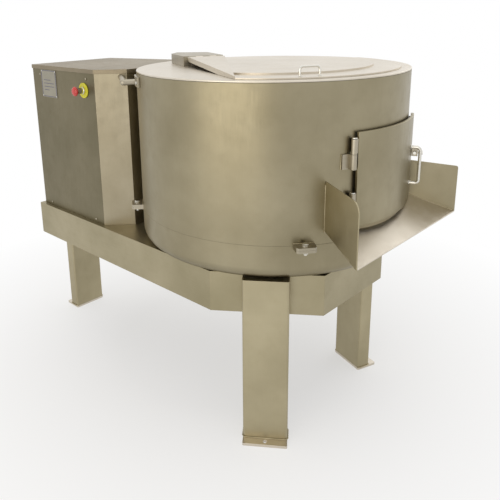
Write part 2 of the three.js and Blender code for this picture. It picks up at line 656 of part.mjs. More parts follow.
function hingeBox() {
  const x1 = LID_HINGE_S - LID_BARREL_R - RUN;
  const x0 = x1 - HINGE_BOX_L;
  const y0 = -LID_CHORD - 14;
  const y1 = -LID_CHORD + HOOD_W;
  const outline = [[x0, -LID_CHORD + 30], [x0 + 70, y0], [x1, y0], [x1, y1], [x0 + 60, y1]];
  const outer = prism(outline, TOP_Z + GAP, TOP_Z + HINGE_BOX_H);
  const inner = prism(inset(outline, HOOD_SHEET), TOP_Z - 5, TOP_Z + HINGE_BOX_H - HOOD_SHEET);
  const shell = outer.subtract(inner);
  const barrels = [0, 2, 4].map((i) => {
    const { y0: a, y1: b, bore, barrel } = lidBarrel(i);
    const tab = block(x1 - 2, LID_HINGE_S, a, b, axisZ - 4, axisZ + 4);
    return barrel.add(tab).subtract(bore);
  });
  return union([shell, ...barrels]);
}
toLid(add('lid_hinge_box', hingeBox(), brushed));

const lidPin = rod([LID_HINGE_S, hingeY0 + GAP, axisZ], [LID_HINGE_S, hingeY0 + 5 * knuckleL + 6, axisZ], LID_PIN_R)
  .add(rod([LID_HINGE_S, hingeY0 - 4, axisZ], [LID_HINGE_S, hingeY0, axisZ], LID_BARREL_R - 2))
  .add(rod([LID_HINGE_S, hingeY0 - 1, axisZ], [LID_HINGE_S, hingeY0 + 2, axisZ], LID_PIN_R));
toLid(add('lid_hinge_pin', lidPin, chrome));

const lidHandleAngle = -8.5; // round the lid from its long axis
const lidHandleZ = lidZ + LID_T + GAP;
const lidHandle = bentRod([
  [LID_HANDLE_R, -LID_HANDLE_SPAN / 2, lidHandleZ],
  [LID_HANDLE_R, -LID_HANDLE_SPAN / 2, lidHandleZ + LID_HANDLE_OUT],
  [LID_HANDLE_R, LID_HANDLE_SPAN / 2, lidHandleZ + LID_HANDLE_OUT],
  [LID_HANDLE_R, LID_HANDLE_SPAN / 2, lidHandleZ],
], 9, LID_HANDLE_ROD);
turnedBy(add('lid_handle', lidHandle, chrome), LID_DIRECTION + lidHandleAngle);

// ------------------------------------------------------------------ discharge door
const hingeR = DOOR_OUT_R;
const hingeXY = [hingeR * Math.cos(radians(HINGE_ANGLE)), hingeR * Math.sin(radians(HINGE_ANGLE))];
// each hinge is a door knuckle above a fixed knuckle; the list gives the joint between the two
const hingeJoints = [
  DOOR_TOP_Z - HINGE_END - HINGE_KNUCKLE_H,
  DOOR_BASE_Z + HINGE_END + HINGE_KNUCKLE_H,
];

// barrel standing on the hinge axis, with its bore, in the frame whose x runs outwards at HINGE_ANGLE
function knuckle(z0, z1, webs) {
  const barrel = disc(HINGE_BARREL_R, z0, z1, 20).translate([hingeR, 0, 0]);
  const bore = disc(HINGE_PIN_R + RUN, z0 - 5, z1 + 5, 16).translate([hingeR, 0, 0]);
  return union([barrel, ...webs]).subtract(bore);
}

function door() {
  const panel = shellPatch(DOOR_IN_R, DOOR_OUT_R, DOOR_FROM, DOOR_TO, DOOR_BASE_Z, DOOR_TOP_Z, 20);
  const knuckles = hingeJoints.map((z) => {
    const web = block(hingeR - 9, hingeR - 2, 4, 22, z + GAP, z + HINGE_KNUCKLE_H);
    return knuckle(z + GAP, z + HINGE_KNUCKLE_H, [web]).rotate([0, 0, HINGE_ANGLE]);
  });
  return union([panel, ...knuckles]);
}
add('door', door(), brushed);

const gasketFrom = openingFrom - 1.2;
const gasketTo = openingTo + 1.2;
const gasket = shellPatch(DRUM_R + GAP, DOOR_IN_R - GAP, gasketFrom, gasketTo,
  DOOR_BASE_Z + 10, DOOR_TOP_Z - 10)
  .subtract(shellPatch(DRUM_R - 9, DOOR_OUT_R, openingFrom, openingTo,
    DOOR_BASE_Z + OPENING_IN, DOOR_TOP_Z - OPENING_IN));
add('door_gasket', gasket, rubber);

hingeJoints.forEach((z, i) => {
  const leafAngle = THREE.MathUtils.radToDeg(34 / DRUM_R);
  const leaf = shellPatch(DRUM_R + GAP, DRUM_R + 6, -leafAngle, -0.4, z - HINGE_KNUCKLE_H, z - GAP, 4);
  const web = block(DRUM_R + 2, hingeR, -HINGE_BARREL_R, -4, z - HINGE_KNUCKLE_H, z - GAP);
  const bracket = knuckle(z - HINGE_KNUCKLE_H, z - GAP, [leaf, web]);
  turnedBy(add(`door_hinge_bracket_${i + 1}`, bracket, satin), HINGE_ANGLE);
  const top = z + HINGE_KNUCKLE_H + GAP;
  const pin = disc(HINGE_PIN_R, z - HINGE_KNUCKLE_H, top + 1, 16).add(disc(HINGE_BARREL_R - 1, top, top + 6, 16));
  turnedBy(add(`door_hinge_pin_${i + 1}`, pin.translate([hingeR, 0, 0]), chrome), HINGE_ANGLE);
});

const doorHandleZ = DOOR_TOP_Z - DOOR_HANDLE_DROP;
const handleHalf = DOOR_HANDLE_SPAN / 2;
const handleFoot = DOOR_OUT_R + GAP;
const handleOut = DOOR_OUT_R + DOOR_HANDLE_OUT;
const doorHandle = bentRod([
  [handleFoot, 0, doorHandleZ - handleHalf],
  [handleOut, 0, doorHandleZ - handleHalf],
  [handleOut, 0, doorHandleZ + handleHalf],
  [handleFoot, 0, doorHandleZ + handleHalf],
], 12, DOOR_HANDLE_ROD);
turnedBy(add('door_handle', doorHandle, chrome), DOOR_HANDLE_ANGLE);

// sliding bolt in a block on the door; pushed forwards it enters the keeper on the drum
const latchZ = doorHandleZ + 40;
const latchU = DOOR_OUT_R + 11;
const knobV = -16;
const boltEnd = 18;
const keeperV = boltEnd + 8;
const latchRod = (fromV, toV, r) => rod([latchU, fromV, latchZ], [latchU, toV, latchZ], r);
const knobRod = (fromU, toU, r) => rod([latchU + fromU, knobV, latchZ], [latchU + toU, knobV, latchZ], r);

const slotHalf = LATCH_ROD - 1;
const latchSlot = block(latchU, latchU + 30, knobV - slotHalf, knobV + LATCH_TRAVEL + slotHalf,
  latchZ - slotHalf, latchZ + slotHalf);
const latchBlock = block(DOOR_OUT_R + GAP, latchU + 11, -26, 16, latchZ - 13, latchZ + 13)
  .subtract(latchRod(-40, 40, LATCH_ROD + RUN)).subtract(latchSlot);
turnedBy(add('latch_block', latchBlock, satin), LATCH_ANGLE);
const latchBolt = union([
  latchRod(-34, boltEnd, LATCH_ROD),
  knobRod(0, 22, slotHalf - RUN),
  knobRod(18, 28, LATCH_ROD + 2),
]);
turnedBy(add('latch_bolt', latchBolt, chrome), LATCH_ANGLE);
const keeper = block(DRUM_R - 20, latchU + 12, keeperV, keeperV + 8, latchZ - 14, latchZ + 14)
  .subtract(latchRod(0, 90, LATCH_ROD + RUN))
  .subtract(disc(DRUM_R + GAP, latchZ - 99, latchZ + 99, ROUND));
turnedBy(add('latch_keeper', keeper, satin), LATCH_ANGLE);

// ------------------------------------------------------------------ discharge chute
const floorTopAt = (x) => TOP_Z - CHUTE_FLOOR_DROP - CHUTE_SLOPE * (x - DRUM_R);
const cheekFoot = DRUM_R + 0.6;
const cheekRun = radians(CHEEK_ANGLE - CHEEK_TOE);
const cheekLength = (CHUTE_MOUTH - cheekFoot * Math.cos(radians(CHEEK_ANGLE))) / Math.cos(cheekRun);

function chuteFloor() {
  const edge = CHEEK_ANGLE - THREE.MathUtils.radToDeg((GAP + 0.2) / DRUM_R);
  const half = cheekFoot * Math.sin(radians(edge)) + cheekLength * Math.sin(cheekRun);
  const outline = [...arc(cheekFoot, edge, -edge, 24), [CHUTE_MOUTH, -half], [CHUTE_MOUTH, half]];
  const shape = new THREE.Shape(outline.map(([x, y]) => new THREE.Vector2(x, y)));
  const geometry = new THREE.ExtrudeGeometry(shape, { depth: FLOOR_T, bevelEnabled: false });
  geometry.translate(0, 0, floorTopAt(DRUM_R) - FLOOR_T);
  shearUp(geometry, -CHUTE_SLOPE, DRUM_R);
  return solid(geometry);
}
add('chute_floor', chuteFloor(), satin);

// cheek in its own upright plane: x outwards from its foot at the drum, thickness on one side
function cheek(side, top, radius) {
  const floorUnder = (u) => floorTopAt(cheekFoot * Math.cos(radians(CHEEK_ANGLE)) + u * Math.cos(cheekRun));
  const corner = arc(radius, 0, 85, 6)
    .map(([x, z]) => [cheekLength - radius + x, top - CHEEK_FALL - radius + z]);
  const outline = [
    [0, floorUnder(0) - FLOOR_T],
    [cheekLength, floorUnder(cheekLength) - FLOOR_T],
    ...corner,
    [0, top],
  ];
  const shape = new THREE.Shape(outline.map(([x, z]) => new THREE.Vector2(x, z)));
  const geometry = new THREE.ExtrudeGeometry(shape, { depth: CHEEK_T, bevelEnabled: false });
  geometry.rotateX(Math.PI / 2);
  geometry.translate(0, side > 0 ? CHEEK_T : 0, 0);
  return solid(geometry);
}

function placeCheek(mesh, side) {
  const foot = radians(side * CHEEK_ANGLE);
  mesh.position.set(cheekFoot * Math.cos(foot), cheekFoot * Math.sin(foot), 0);
  mesh.rotation.z = side * cheekRun;
}
const cheekTop = TOP_Z - CHEEK_TOP_DROP;
placeCheek(add('chute_cheek_front', cheek(-1, cheekTop, CHEEK_CORNER), brushed), -1);
placeCheek(add('chute_cheek_rear', cheek(1, cheekTop - REAR_CHEEK_CUT, REAR_CHEEK_CORNER), brushed), 1);

// ------------------------------------------------------------------ cabinet
const cabinetFront = DECK_FRONT + CABINET_FRONT_IN;
const cabinetLeft = DECK_LEFT + CABINET_LEFT_IN;
const cabinetSide = -(DRUM_R - CABINET_LAP);
const cornerX = cabinetSide - CABINET_CORNER;
const cabinetBase = DECK_TOP_Z + GAP;

// outline of the cabinet, moved outwards by a distance; the drum lies in its hollow side
function cabinetOutline(out) {
  const front = [0, -1, -cabinetFront + out];
  const left = [-1, 0, -cabinetLeft + out];
  const side = [1, 0, cabinetSide + out];
  const cut = offsetLine([cornerX, cabinetFront], [cabinetSide, cabinetFront + CABINET_CORNER], -out);
  const rear = offsetLine(DECK_OUTLINE[4], DECK_OUTLINE[5], CABINET_REAR_IN - out);
  const recess = DRUM_R + RECESS_GAP - out;
  const sideY = -Math.sqrt(recess ** 2 - side[2] ** 2);
  const along = Math.sqrt(recess ** 2 - rear[2] ** 2);
  const rearEnd = [rear[0] * rear[2] - rear[1] * along, rear[1] * rear[2] + rear[0] * along];
  const from = THREE.MathUtils.radToDeg(Math.atan2(sideY, side[2]));
  let to = THREE.MathUtils.radToDeg(Math.atan2(rearEnd[1], rearEnd[0]));
  if (to > from) to -= 360;
  return [
    crossing(left, front), crossing(front, cut), crossing(cut, side),
    ...arc(recess, from, to, 16), crossing(rear, left),
  ];
}

const screwSpots = [[cabinetLeft + 64, cabinetBase + 14], [cornerX - 58, cabinetBase + 14],
  [cabinetLeft + 64, CABINET_TOP_Z - 40], [cornerX - 58, CABINET_TOP_Z - 40]];
const panelBack = cabinetFront + CABINET_SHEET;
const alongY = (x, z, y0, y1, r, segments) => rod([x, y0, z], [x, y1, z], r, segments);

// the water inlet is a pipe from the cabinet's cut corner to a flange on the drum
const inletStart = [cabinetSide - 58, cabinetFront + CABINET_CORNER + 10, inletZ];
const inletMiddle = inletAt(DRUM_R + INLET_OUT);
const inletEnd = inletAt(DRUM_R - DRUM_SHEET - 6);

function cabinetCasing() {
  const topZ = CABINET_TOP_Z - CABINET_SHEET - GAP;
  const outer = prism(cabinetOutline(0), cabinetBase, topZ);
  const inner = prism(cabinetOutline(-CABINET_SHEET), cabinetBase - 1, topZ + 1);
  const mouth = block(cabinetLeft - 9, cornerX + GAP, cabinetFront - 9, panelBack + GAP, 0, HUGE);
  const frameBack = panelBack + GAP + CABINET_SHEET;
  const frame = block(cabinetLeft, cornerX, panelBack + GAP, frameBack, cabinetBase, topZ);
  const frameIn = block(cabinetLeft + PANEL_FLANGE, cornerX - PANEL_FLANGE, panelBack - 9, frameBack + 9,
    cabinetBase + PANEL_FLANGE + 8, topZ - PANEL_FLANGE - 30);
  const shanks = screwSpots.map(([x, z]) => alongY(x, z, panelBack - 5, panelBack + 9, SCREW_R - 1.5));
  const walls = outer.subtract(inner).subtract(mouth).add(frame.subtract(frameIn).intersect(outer));
  return walls.subtract(union(shanks)).subtract(rod(inletStart, inletMiddle, INLET_R + RUN, 24));
}

add('cabinet_casing', cabinetCasing(), brushed);

function cabinetPanel() {
  const x0 = cabinetLeft + GAP;
  const x1 = cornerX - GAP;
  const top = CABINET_TOP_Z - COVER_LIP - CABINET_SHEET - GAP;
  const plate = block(x0, x1, cabinetFront, panelBack, cabinetBase, top);
  const stemHole = alongY(stopX, stopZ, cabinetFront - 9, panelBack + 9, STOP_STEM_R + 5, 28);
  const holes = screwSpots.map(([x, z]) => alongY(x, z, cabinetFront - 5, panelBack + 5, SCREW_R - 1.5));
  return plate.subtract(union([stemHole, ...holes]));
}
const stopX = cornerX - STOP_FROM_CORNER;
const stopZ = CABINET_TOP_Z - STOP_DROP;
add('cabinet_front_panel', cabinetPanel(), brushed);

function cabinetCover() {
  const over = CABINET_SHEET;
  const top = prism(cabinetOutline(over), CABINET_TOP_Z - COVER_LIP - CABINET_SHEET, CABINET_TOP_Z);
  const inner = prism(cabinetOutline(GAP), 0, CABINET_TOP_Z - CABINET_SHEET);
  return top.subtract(inner);
}
add('cabinet_top_cover', cabinetCover(), satin);

screwSpots.forEach(([x, z], i) => {
  const head = alongY(x, z, cabinetFront - GAP - 3.5, cabinetFront - GAP, SCREW_R, 16);
  const slot = block(x - SCREW_R, x + SCREW_R, cabinetFront - 5, cabinetFront - 3, z - 0.8, z + 0.8);
  const shank = alongY(x, z, cabinetFront - 1, panelBack + 8, SCREW_R - 2, 12);
  add(`panel_screw_${i + 1}`, head.subtract(slot).add(shank), chrome);
});

// ------------------------------------------------------------------ nameplate and emergency stop
const plateX = cabinetLeft + 73;
const plateZ = CABINET_TOP_Z - 19;
const plateY = cabinetFront - GAP;
const nameplate = block(plateX, plateX + NAMEPLATE_W, plateY - NAMEPLATE_T, plateY, plateZ - NAMEPLATE_H, plateZ);
add('nameplate', nameplate, aluminium);

// pieces of the emergency stop are turned about the button's axis, which points out of the panel
const stopY = cabinetFront - GAP;
const onPanel = (manifold) => manifold.rotate([90, 0, 0]).translate([stopX, stopY, stopZ]);
const stopPlate = disc(STOP_PLATE_R, 0, STOP_PLATE_T, 48).subtract(disc(STOP_STEM_R + 5, -1, 99, 28));
add('stop_plate', onPanel(stopPlate), yellowPlastic);
const collarZ = STOP_PLATE_T + GAP;
const collar = turned([
  [STOP_STEM_R + RUN, -14], [STOP_STEM_R + 4.4, -14], [STOP_STEM_R + 4.4, collarZ], [15, collarZ],
  [15, collarZ + 4], [12.5, collarZ + 6], [12.5, collarZ + STOP_NECK], [STOP_STEM_R + RUN, collarZ + STOP_NECK],
], 20);
add('stop_collar', onPanel(collar), chrome);
const headZ = collarZ + STOP_NECK + STOP_TRAVEL + RUN;
const head = turned([
  [0, -12], [STOP_STEM_R, -12], [STOP_STEM_R, headZ], [STOP_HEAD_R - 2, headZ], [STOP_HEAD_R, headZ + 2],
  [STOP_HEAD_R, headZ + 5], [STOP_HEAD_R - 2.5, headZ + 9], [STOP_HEAD_R - 7, headZ + 12], [0, headZ + 14],
], 24);
add('stop_button', onPanel(head), redPlastic);

// ------------------------------------------------------------------ water inlet
function inletPipe(r, end) {
  return union([
    rod(inletStart, inletMiddle, r, 12),
    rod(inletMiddle, end, r, 12),
    wasm.Manifold.sphere(r, 12).translate(inletMiddle),
  ]);
}
const inletBore = inletPipe(INLET_R - 2.5, inletAt(DRUM_R - 50));
add('inlet_pipe', inletPipe(INLET_R, inletEnd).subtract(inletBore), satin);

const flangeSpan = THREE.MathUtils.radToDeg(INLET_FLANGE_W / 2 / DRUM_R);
const flangeZ0 = inletZ - INLET_R - 5;
const flangeHole = rod([DRUM_R - 9, 0, inletZ], [DRUM_R + 99, 0, inletZ], INLET_R + RUN, 20);
const inletFlange = shellPatch(DRUM_R + GAP, DRUM_R + 8, -flangeSpan, flangeSpan,
  flangeZ0, flangeZ0 + INLET_FLANGE_H, 6).subtract(flangeHole);
turnedBy(add('inlet_flange', inletFlange, satin), INLET_ANGLE);
[-1, 1].forEach((side, i) => {
  const head = rod([DRUM_R + 8 + GAP, 0, inletZ], [DRUM_R + 14, 0, inletZ], 6, 6);
  turnedBy(add(`inlet_screw_${i + 1}`, head, chrome), INLET_ANGLE + side * flangeSpan * 0.72);
});

const leftEnd = DECK_LEFT - GAP - LEG_T - FOOT_EXT;
washer.position.x = -(leftEnd + CHUTE_MOUTH) / 2;
washer.updateMatrixWorld(true);

export default washer;
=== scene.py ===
# Looks of the centrifugal drum washer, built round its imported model. Metres, +Z up, in the model's frame.
import math

import bmesh
import bpy
from mathutils import Matrix, Vector


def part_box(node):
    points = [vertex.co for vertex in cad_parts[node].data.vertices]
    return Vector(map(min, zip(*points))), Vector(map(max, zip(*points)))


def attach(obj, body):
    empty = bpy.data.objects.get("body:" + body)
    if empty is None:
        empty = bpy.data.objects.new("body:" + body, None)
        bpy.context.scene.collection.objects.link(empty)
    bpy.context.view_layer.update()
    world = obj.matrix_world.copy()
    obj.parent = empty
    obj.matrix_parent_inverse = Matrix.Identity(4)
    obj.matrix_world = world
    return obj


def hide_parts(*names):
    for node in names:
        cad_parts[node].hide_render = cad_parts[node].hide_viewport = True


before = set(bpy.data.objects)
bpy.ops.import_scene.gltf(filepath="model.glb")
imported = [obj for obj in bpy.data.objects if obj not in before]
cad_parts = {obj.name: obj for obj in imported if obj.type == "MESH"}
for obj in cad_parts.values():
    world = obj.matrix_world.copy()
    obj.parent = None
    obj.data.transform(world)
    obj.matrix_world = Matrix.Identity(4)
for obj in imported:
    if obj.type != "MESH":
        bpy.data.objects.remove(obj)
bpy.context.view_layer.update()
MM = 0.001


# ------------------------------------------------------------------ places taken from the model
def box(node):
    low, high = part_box(node)
    return Vector(low), Vector(high)


def middle(node):
    low, high = box(node)
    return (low + high) / 2


top_low, top_high = box("top_plate")
AXIS = Vector(((top_low.x + top_high.x) / 2, (top_low.y + top_high.y) / 2, 0))
DRUM_R = (top_high.x - top_low.x) / 2
SHEET = 4 * MM
FRAME_BODY = "washer_frame"


def polar(radius, degrees, height=0.0):
    """A point round the drum's axis; 0 degrees is towards the chute."""
    a = math.radians(degrees)
    return AXIS + Vector((radius * math.cos(a), radius * math.sin(a), height))


def degrees_of(point):
    """The angle of a point round the drum's axis."""
    return math.degrees(math.atan2(point.y - AXIS.y, point.x - AXIS.x))


def plan_corners(node):
    """The corners of a node's outline as seen from above, anticlockwise."""
    flat = sorted({(round(v.co.x, 4), round(v.co.y, 4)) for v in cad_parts[node].data.vertices})
    hull = []
    for points in (flat, flat[::-1]):
        side = []
        for p in points:
            while len(side) > 1 and turn(side[-2], side[-1], p) <= 1e-7:
                side.pop()
            side.append(p)
        hull += side[:-1]
    return [Vector((x, y, 0)) for x, y in hull]


def turn(a, b, c):
    return (b[0] - a[0]) * (c[1] - a[1]) - (b[1] - a[1]) * (c[0] - a[0])


# ------------------------------------------------------------------ node helper and colours
def colour(hex_code):
    """An sRGB hex code as the linear colour that shaders take."""
    parts = [int(hex_code[i : i + 2], 16) / 255 for i in (1, 3, 5)]
    linear = [c / 12.92 if c <= 0.04045 else ((c + 0.055) / 1.055) ** 2.4 for c in parts]
    return (*linear, 1.0)


def add_node(tree, kind, settings=None, **inputs):
    """Adds a node; inputs are values or the sockets to link from, with _ for a space in a socket's name."""
    node = tree.nodes.new(kind)
    for key, value in (settings or {}).items():
        setattr(node, key, value)
    for key, value in inputs.items():
        name = key.replace("_", " ")
        socket = node.inputs[int(key[1:])] if key[1:].isdigit() else node.inputs[name]
        if isinstance(value, bpy.types.NodeSocket):
            tree.links.new(value, socket)
        else:
            socket.default_value = value
    return node


def new_material(name):
    material = bpy.data.materials.new(name)
    material.use_nodes = True
    tree = material.node_tree
    tree.nodes.clear()
    return material, tree


def finish_material(tree, shader):
    add_node(tree, "ShaderNodeOutputMaterial", Surface=shader.outputs[0])


def mix(tree, factor, first, second):
    node = add_node(tree, "ShaderNodeMix", {"data_type": "RGBA"}, i0=factor, i6=first, i7=second)
    return node.outputs[2]


def noise(tree, vector, scale, detail=3.0, roughness=0.5):
    return add_node(
        tree, "ShaderNodeTexNoise", Vector=vector, Scale=scale, Detail=detail, Roughness=roughness
    ).outputs["Fac"]


def remap(tree, value, low, high, to_low, to_high):
    return add_node(
        tree, "ShaderNodeMapRange",
        Value=value, From_Min=low, From_Max=high, To_Min=to_low, To_Max=to_high,
    ).outputs["Result"]


def combined(tree, operation, first, second):
    """Two values through one maths operation."""
    return add_node(tree, "ShaderNodeMath", {"operation": operation}, i0=first, i1=second).outputs[0]


CLOUD_MM = 312.5  # width of the broad clouds in the tone of sheet metal
SMUDGE_MM = 1000 / 21  # width of its smudges
FINE_CLOUD_MM = 1000 / 14  # width of the clouds in the other finishes


def rolled_steel(name, light, dark, roughness, grain, grain_mm=1.6, relief=0.05, spread=0.06):
    """Stainless sheet. grain is how the brushing is stretched along x, y and z; one line is grain_mm wide.
    The lines vary the gloss and a faint relief; broad clouds and small smudges vary the tone."""
    material, tree = new_material(name)
    place = add_node(tree, "ShaderNodeTexCoord").outputs["Object"]
    lines_at = add_node(tree, "ShaderNodeMapping", Vector=place, Scale=grain).outputs[0]
    lines = noise(tree, lines_at, 1 / (grain_mm * MM), 2.0, 0.6)
    clouds = noise(tree, place, 1 / (CLOUD_MM * MM), 4.0, 0.55)
    smudges = noise(tree, place, 1 / (SMUDGE_MM * MM), 5.0, 0.62)
    tone = remap(tree, clouds, 0.3, 0.7, 0.0, 1.0)
    base = mix(tree, tone, colour(dark), colour(light))
    worn = remap(tree, smudges, 0.52, 0.74, 0.0, 0.16)
    base = mix(tree, worn, base, colour(dark))
    gloss = remap(tree, lines, 0.3, 0.7, roughness - spread, roughness + spread)
    smear = remap(tree, smudges, 0.45, 0.8, 0.0, 0.10)
    total = combined(tree, "ADD", gloss, smear)
    bump = add_node(tree, "ShaderNodeBump", Height=lines, Strength=relief, Distance=0.2 * MM)
    shader = add_node(
        tree, "ShaderNodeBsdfPrincipled",
        Base_Color=base, Metallic=1.0, Roughness=total, Normal=bump.outputs[0],
    )
    finish_material(tree, shader)
    return material


def plain_finish(name, light, dark, roughness, metallic=0.0, speck_mm=2.0, relief=0.05, coat=0.0):
    """A moulded, painted, cast or printed finish, or a weld's: two close tones in specks of speck_mm,
    with a faint relief."""
    material, tree = new_material(name)
    place = add_node(tree, "ShaderNodeTexCoord").outputs["Object"]
    specks = noise(tree, place, 1 / (speck_mm * MM), 4.0, 0.6)
    clouds = noise(tree, place, 1 / (FINE_CLOUD_MM * MM), 3.0)
    both = combined(tree, "MULTIPLY", specks, clouds)
    base = mix(tree, remap(tree, both, 0.15, 0.36, 0.0, 1.0), colour(dark), colour(light))
    gloss = remap(tree, clouds, 0.3, 0.7, roughness - 0.05, roughness + 0.07)
    bump = add_node(tree, "ShaderNodeBump", Height=specks, Strength=relief, Distance=0.3 * MM)
    shader = add_node(
        tree, "ShaderNodeBsdfPrincipled",
        Base_Color=base, Metallic=metallic, Roughness=gloss, Normal=bump.outputs[0], Coat_Weight=coat,
    )
    finish_material(tree, shader)
    return material


# Brushed stainless sheet, No. 4 finish with upright lines: soft upright streaks, warm grey.
UPRIGHT = (1.0, 1.0, 0.02)
brushed = rolled_steel("brushed_stainless_upright", "#A0977E", "#8B8269", 0.36, UPRIGHT)
# The same sheet, with lines along the deck: the long box section.
brushed_long = rolled_steel("brushed_stainless_lengthwise", "#ACA287", "#978E72", 0.40, (0.02, 1.0, 1.0))
# The legs and the chute's front cheek are folded from heavier plate, painted paler than the sheet: painted
# light on the faces the lamps strike.
heavy_plate = rolled_steel("brushed_stainless_painted_light", "#B5AB8E", "#A0967A", 0.40, UPRIGHT)
# The front panel is the same steel painted darker: painted shade on the face turned away from the light.
panel_sheet = rolled_steel("brushed_stainless_painted_shade", "#807861", "#706952", 0.42, UPRIGHT)
# The cabinet's casing is the same steel painted paler than its panel: painted light on its corner face that
# meets the light. The top cover is ground along its length and is duller.
casing_sheet = rolled_steel("brushed_stainless_casing_painted_light", "#A59C87", "#938A74", 0.40, UPRIGHT)
cover_sheet = rolled_steel("ground_stainless_cover", "#998E79", "#877C67", 0.44, (0.03, 1.0, 1.0))
# Pickled and finely ground plate: the top, the lid, the chute's floor, the foot plates. Its pale tone is a
# painted sheen for the light these upward faces catch.
satin = rolled_steel("satin_stainless_painted_sheen", "#D9D1C3", "#CCC3B3", 0.34, (1.0, 0.05, 1.0), 1.2, 0.03)
# Bead-blasted and pickled fittings, a step darker than the plate: lugs, hinges, the latch, pipes, the
# rotor and the panel's button screws.
fitting = rolled_steel("pickled_stainless_fitting", "#B5AD9C", "#9F9784", 0.38, (1.0, 1.0, 0.4), 1.4, 0.05)
# Mill-finish stainless that is never polished, dull and darker: the cover under the deck.
dull = rolled_steel("mill_finish_stainless", "#857C63", "#6B634D", 0.52, (1.0, 0.3, 1.0), 2.5, 0.06)
# Turned and polished stainless, with clear reflections: handles, pins, bolts, shafts and bearings.
polished = rolled_steel("polished_stainless", "#DAD7CF", "#C9C5BA", 0.17, (1.0, 1.0, 0.2), 0.8, 0.02, 0.03)
# Weld metal, straw-tinted by the heat and wire-brushed.
weld_metal = plain_finish("brushed_weld_metal", "#BDB296", "#958A6E", 0.42, 1.0, 1.2, 0.2)
# Grey iron with a sand-cast skin: pulleys and the bearing housing.
cast_iron = plain_finish("sand_cast_iron", "#5A5B57", "#434441", 0.62, 0.7, 1.5, 0.35)
# Machine enamel over a cast motor frame: grey-blue with slight orange peel.
motor_paint = plain_finish("machine_enamel", "#556872", "#495A63", 0.42, 0.0, 3.0, 0.12, 0.3)
# Vulcanised rubber: belts, the seal and the door's gasket.
rubber = plain_finish("black_nitrile_rubber", "#262625", "#1A1A19", 0.78, 0.0, 1.5, 0.15)
# Moulded polycarbonate, glossy: the stop button's head.
red_plastic = plain_finish("red_moulded_polycarbonate", "#D2352A", "#BC2A22", 0.26, 0.0, 4.0, 0.01, 0.4)
# Moulded ABS with a fine texture: the round plate behind the stop button.
yellow_plastic = plain_finish("yellow_moulded_abs", "#DDD52C", "#CBC41F", 0.42, 0.0, 1.0, 0.06)
# Anodised aluminium, fine matt: the nameplate.
aluminium = plain_finish("anodised_aluminium", "#A29D8F", "#969182", 0.45, 0.9, 1.0, 0.03)
# Baked printing ink, matt: the nameplate's border and its empty lines.
ink = plain_finish("blue_printing_ink", "#55536F", "#4B4963", 0.55, 0.0, 1.0, 0.02)


# ------------------------------------------------------------------ meshes
def piece(name, bm, material, body=FRAME_BODY, nodes=(), sharp=32):
    bmesh.ops.recalc_face_normals(bm, faces=bm.faces)
    mesh = bpy.data.meshes.new(name)
    bm.to_mesh(mesh)
    bm.free()
    mesh.polygons.foreach_set("use_smooth", [True] * len(mesh.polygons))
    mesh.set_sharp_from_angle(angle=math.radians(sharp))
    mesh.materials.append(material)
    obj = bpy.data.objects.new(name, mesh)
    bpy.context.scene.collection.objects.link(obj)
    flat = obj.modifiers.new("broad_faces_stay_flat", "WEIGHTED_NORMAL")
    flat.keep_sharp = True
    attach(obj, body)
    if nodes:
        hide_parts(*nodes)
    return obj


def soften(bm, width, steps=2, angle=34):
    """Rounds every edge sharper than the angle."""
    edges = [e for e in bm.edges if len(e.link_faces) == 2 and e.calc_face_angle(0) > math.radians(angle)]
    bmesh.ops.bevel(
        bm, geom=edges, offset=width, segments=steps, profile=0.55, affect="EDGES",
        clamp_overlap=True, loop_slide=True,
    )


def softened(node, material, body=FRAME_BODY, width=0.8 * MM, steps=2):
    """The node's own shape with its edges broken, as a smith leaves sheet and plate."""
    bm = bmesh.new()
    bm.from_mesh(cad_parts[node].data)
    bmesh.ops.remove_doubles(bm, verts=bm.verts, dist=0.02 * MM)
    limit = math.radians(1.0)
    bmesh.ops.dissolve_limit(bm, angle_limit=limit, verts=bm.verts, edges=bm.edges)
    soften(bm, width, steps)
    return piece(node + "_finished", bm, material, body, [node])


def strip(bm, rings, closed):
    """Joins rings of vertices with quads; closed joins the last ring to the first."""
    last = len(rings) if closed else len(rings) - 1
    for i in range(last):
        ring = rings[i]
        after = rings[(i + 1) % len(rings)]
        for j in range(len(ring)):
            k = (j + 1) % len(ring)
            bm.faces.new((ring[j], ring[k], after[k], after[j]))


def revolved(profile, origin, up=Vector((0, 0, 1)), steps=48, bm=None):
    """A solid of revolution. The profile is (radius, height) pairs along up, and it closes on itself or
    on the axis."""
    bm = bm or bmesh.new()
    lift = up.to_track_quat("Z", "Y").to_matrix()
    open_ends = profile[0][0] == 0 and profile[-1][0] == 0
    middle_part = profile[1:-1] if open_ends else profile
    rings = []
    for i in range(steps):
        a = 2 * math.pi * i / steps
        out = Vector((math.cos(a), math.sin(a), 0))
        rings.append([bm.verts.new(origin + lift @ (out * r + Vector((0, 0, h)))) for r, h in middle_part])
    for i in range(steps):
        ring, after = rings[i], rings[(i + 1) % steps]
        count = len(ring)
        for j in range(count - 1 if open_ends else count):
            k = (j + 1) % count
            bm.faces.new((ring[j], after[j], after[k], ring[k]))
    if open_ends:
        for end, place in ((0, 0), (-1, -1)):
            tip = bm.verts.new(origin + up * profile[place][1])
            for i in range(steps):
                bm.faces.new((tip, rings[i][end], rings[(i + 1) % steps][end]))
    return bm


def rounded_profile(corners, radius, steps=4):
    """Rounds the corners of a (radius, height) profile that lie off the axis."""
    out = []
    count = len(corners)
    for i, (r, h) in enumerate(corners):
        here = Vector((r, h))
        if r == 0:
            out.append((r, h))
            continue
        before = Vector(corners[i - 1]) - here
        after = Vector(corners[(i + 1) % count]) - here
        size = min(radius, before.length * 0.45, after.length * 0.45)
        a = here + before.normalized() * size
        b = here + after.normalized() * size
        for s in range(steps + 1):
            t = s / steps
            p = a * (1 - t) ** 2 + here * 2 * t * (1 - t) + b * t**2
            out.append((max(p.x, 0.0), p.y))
    return out


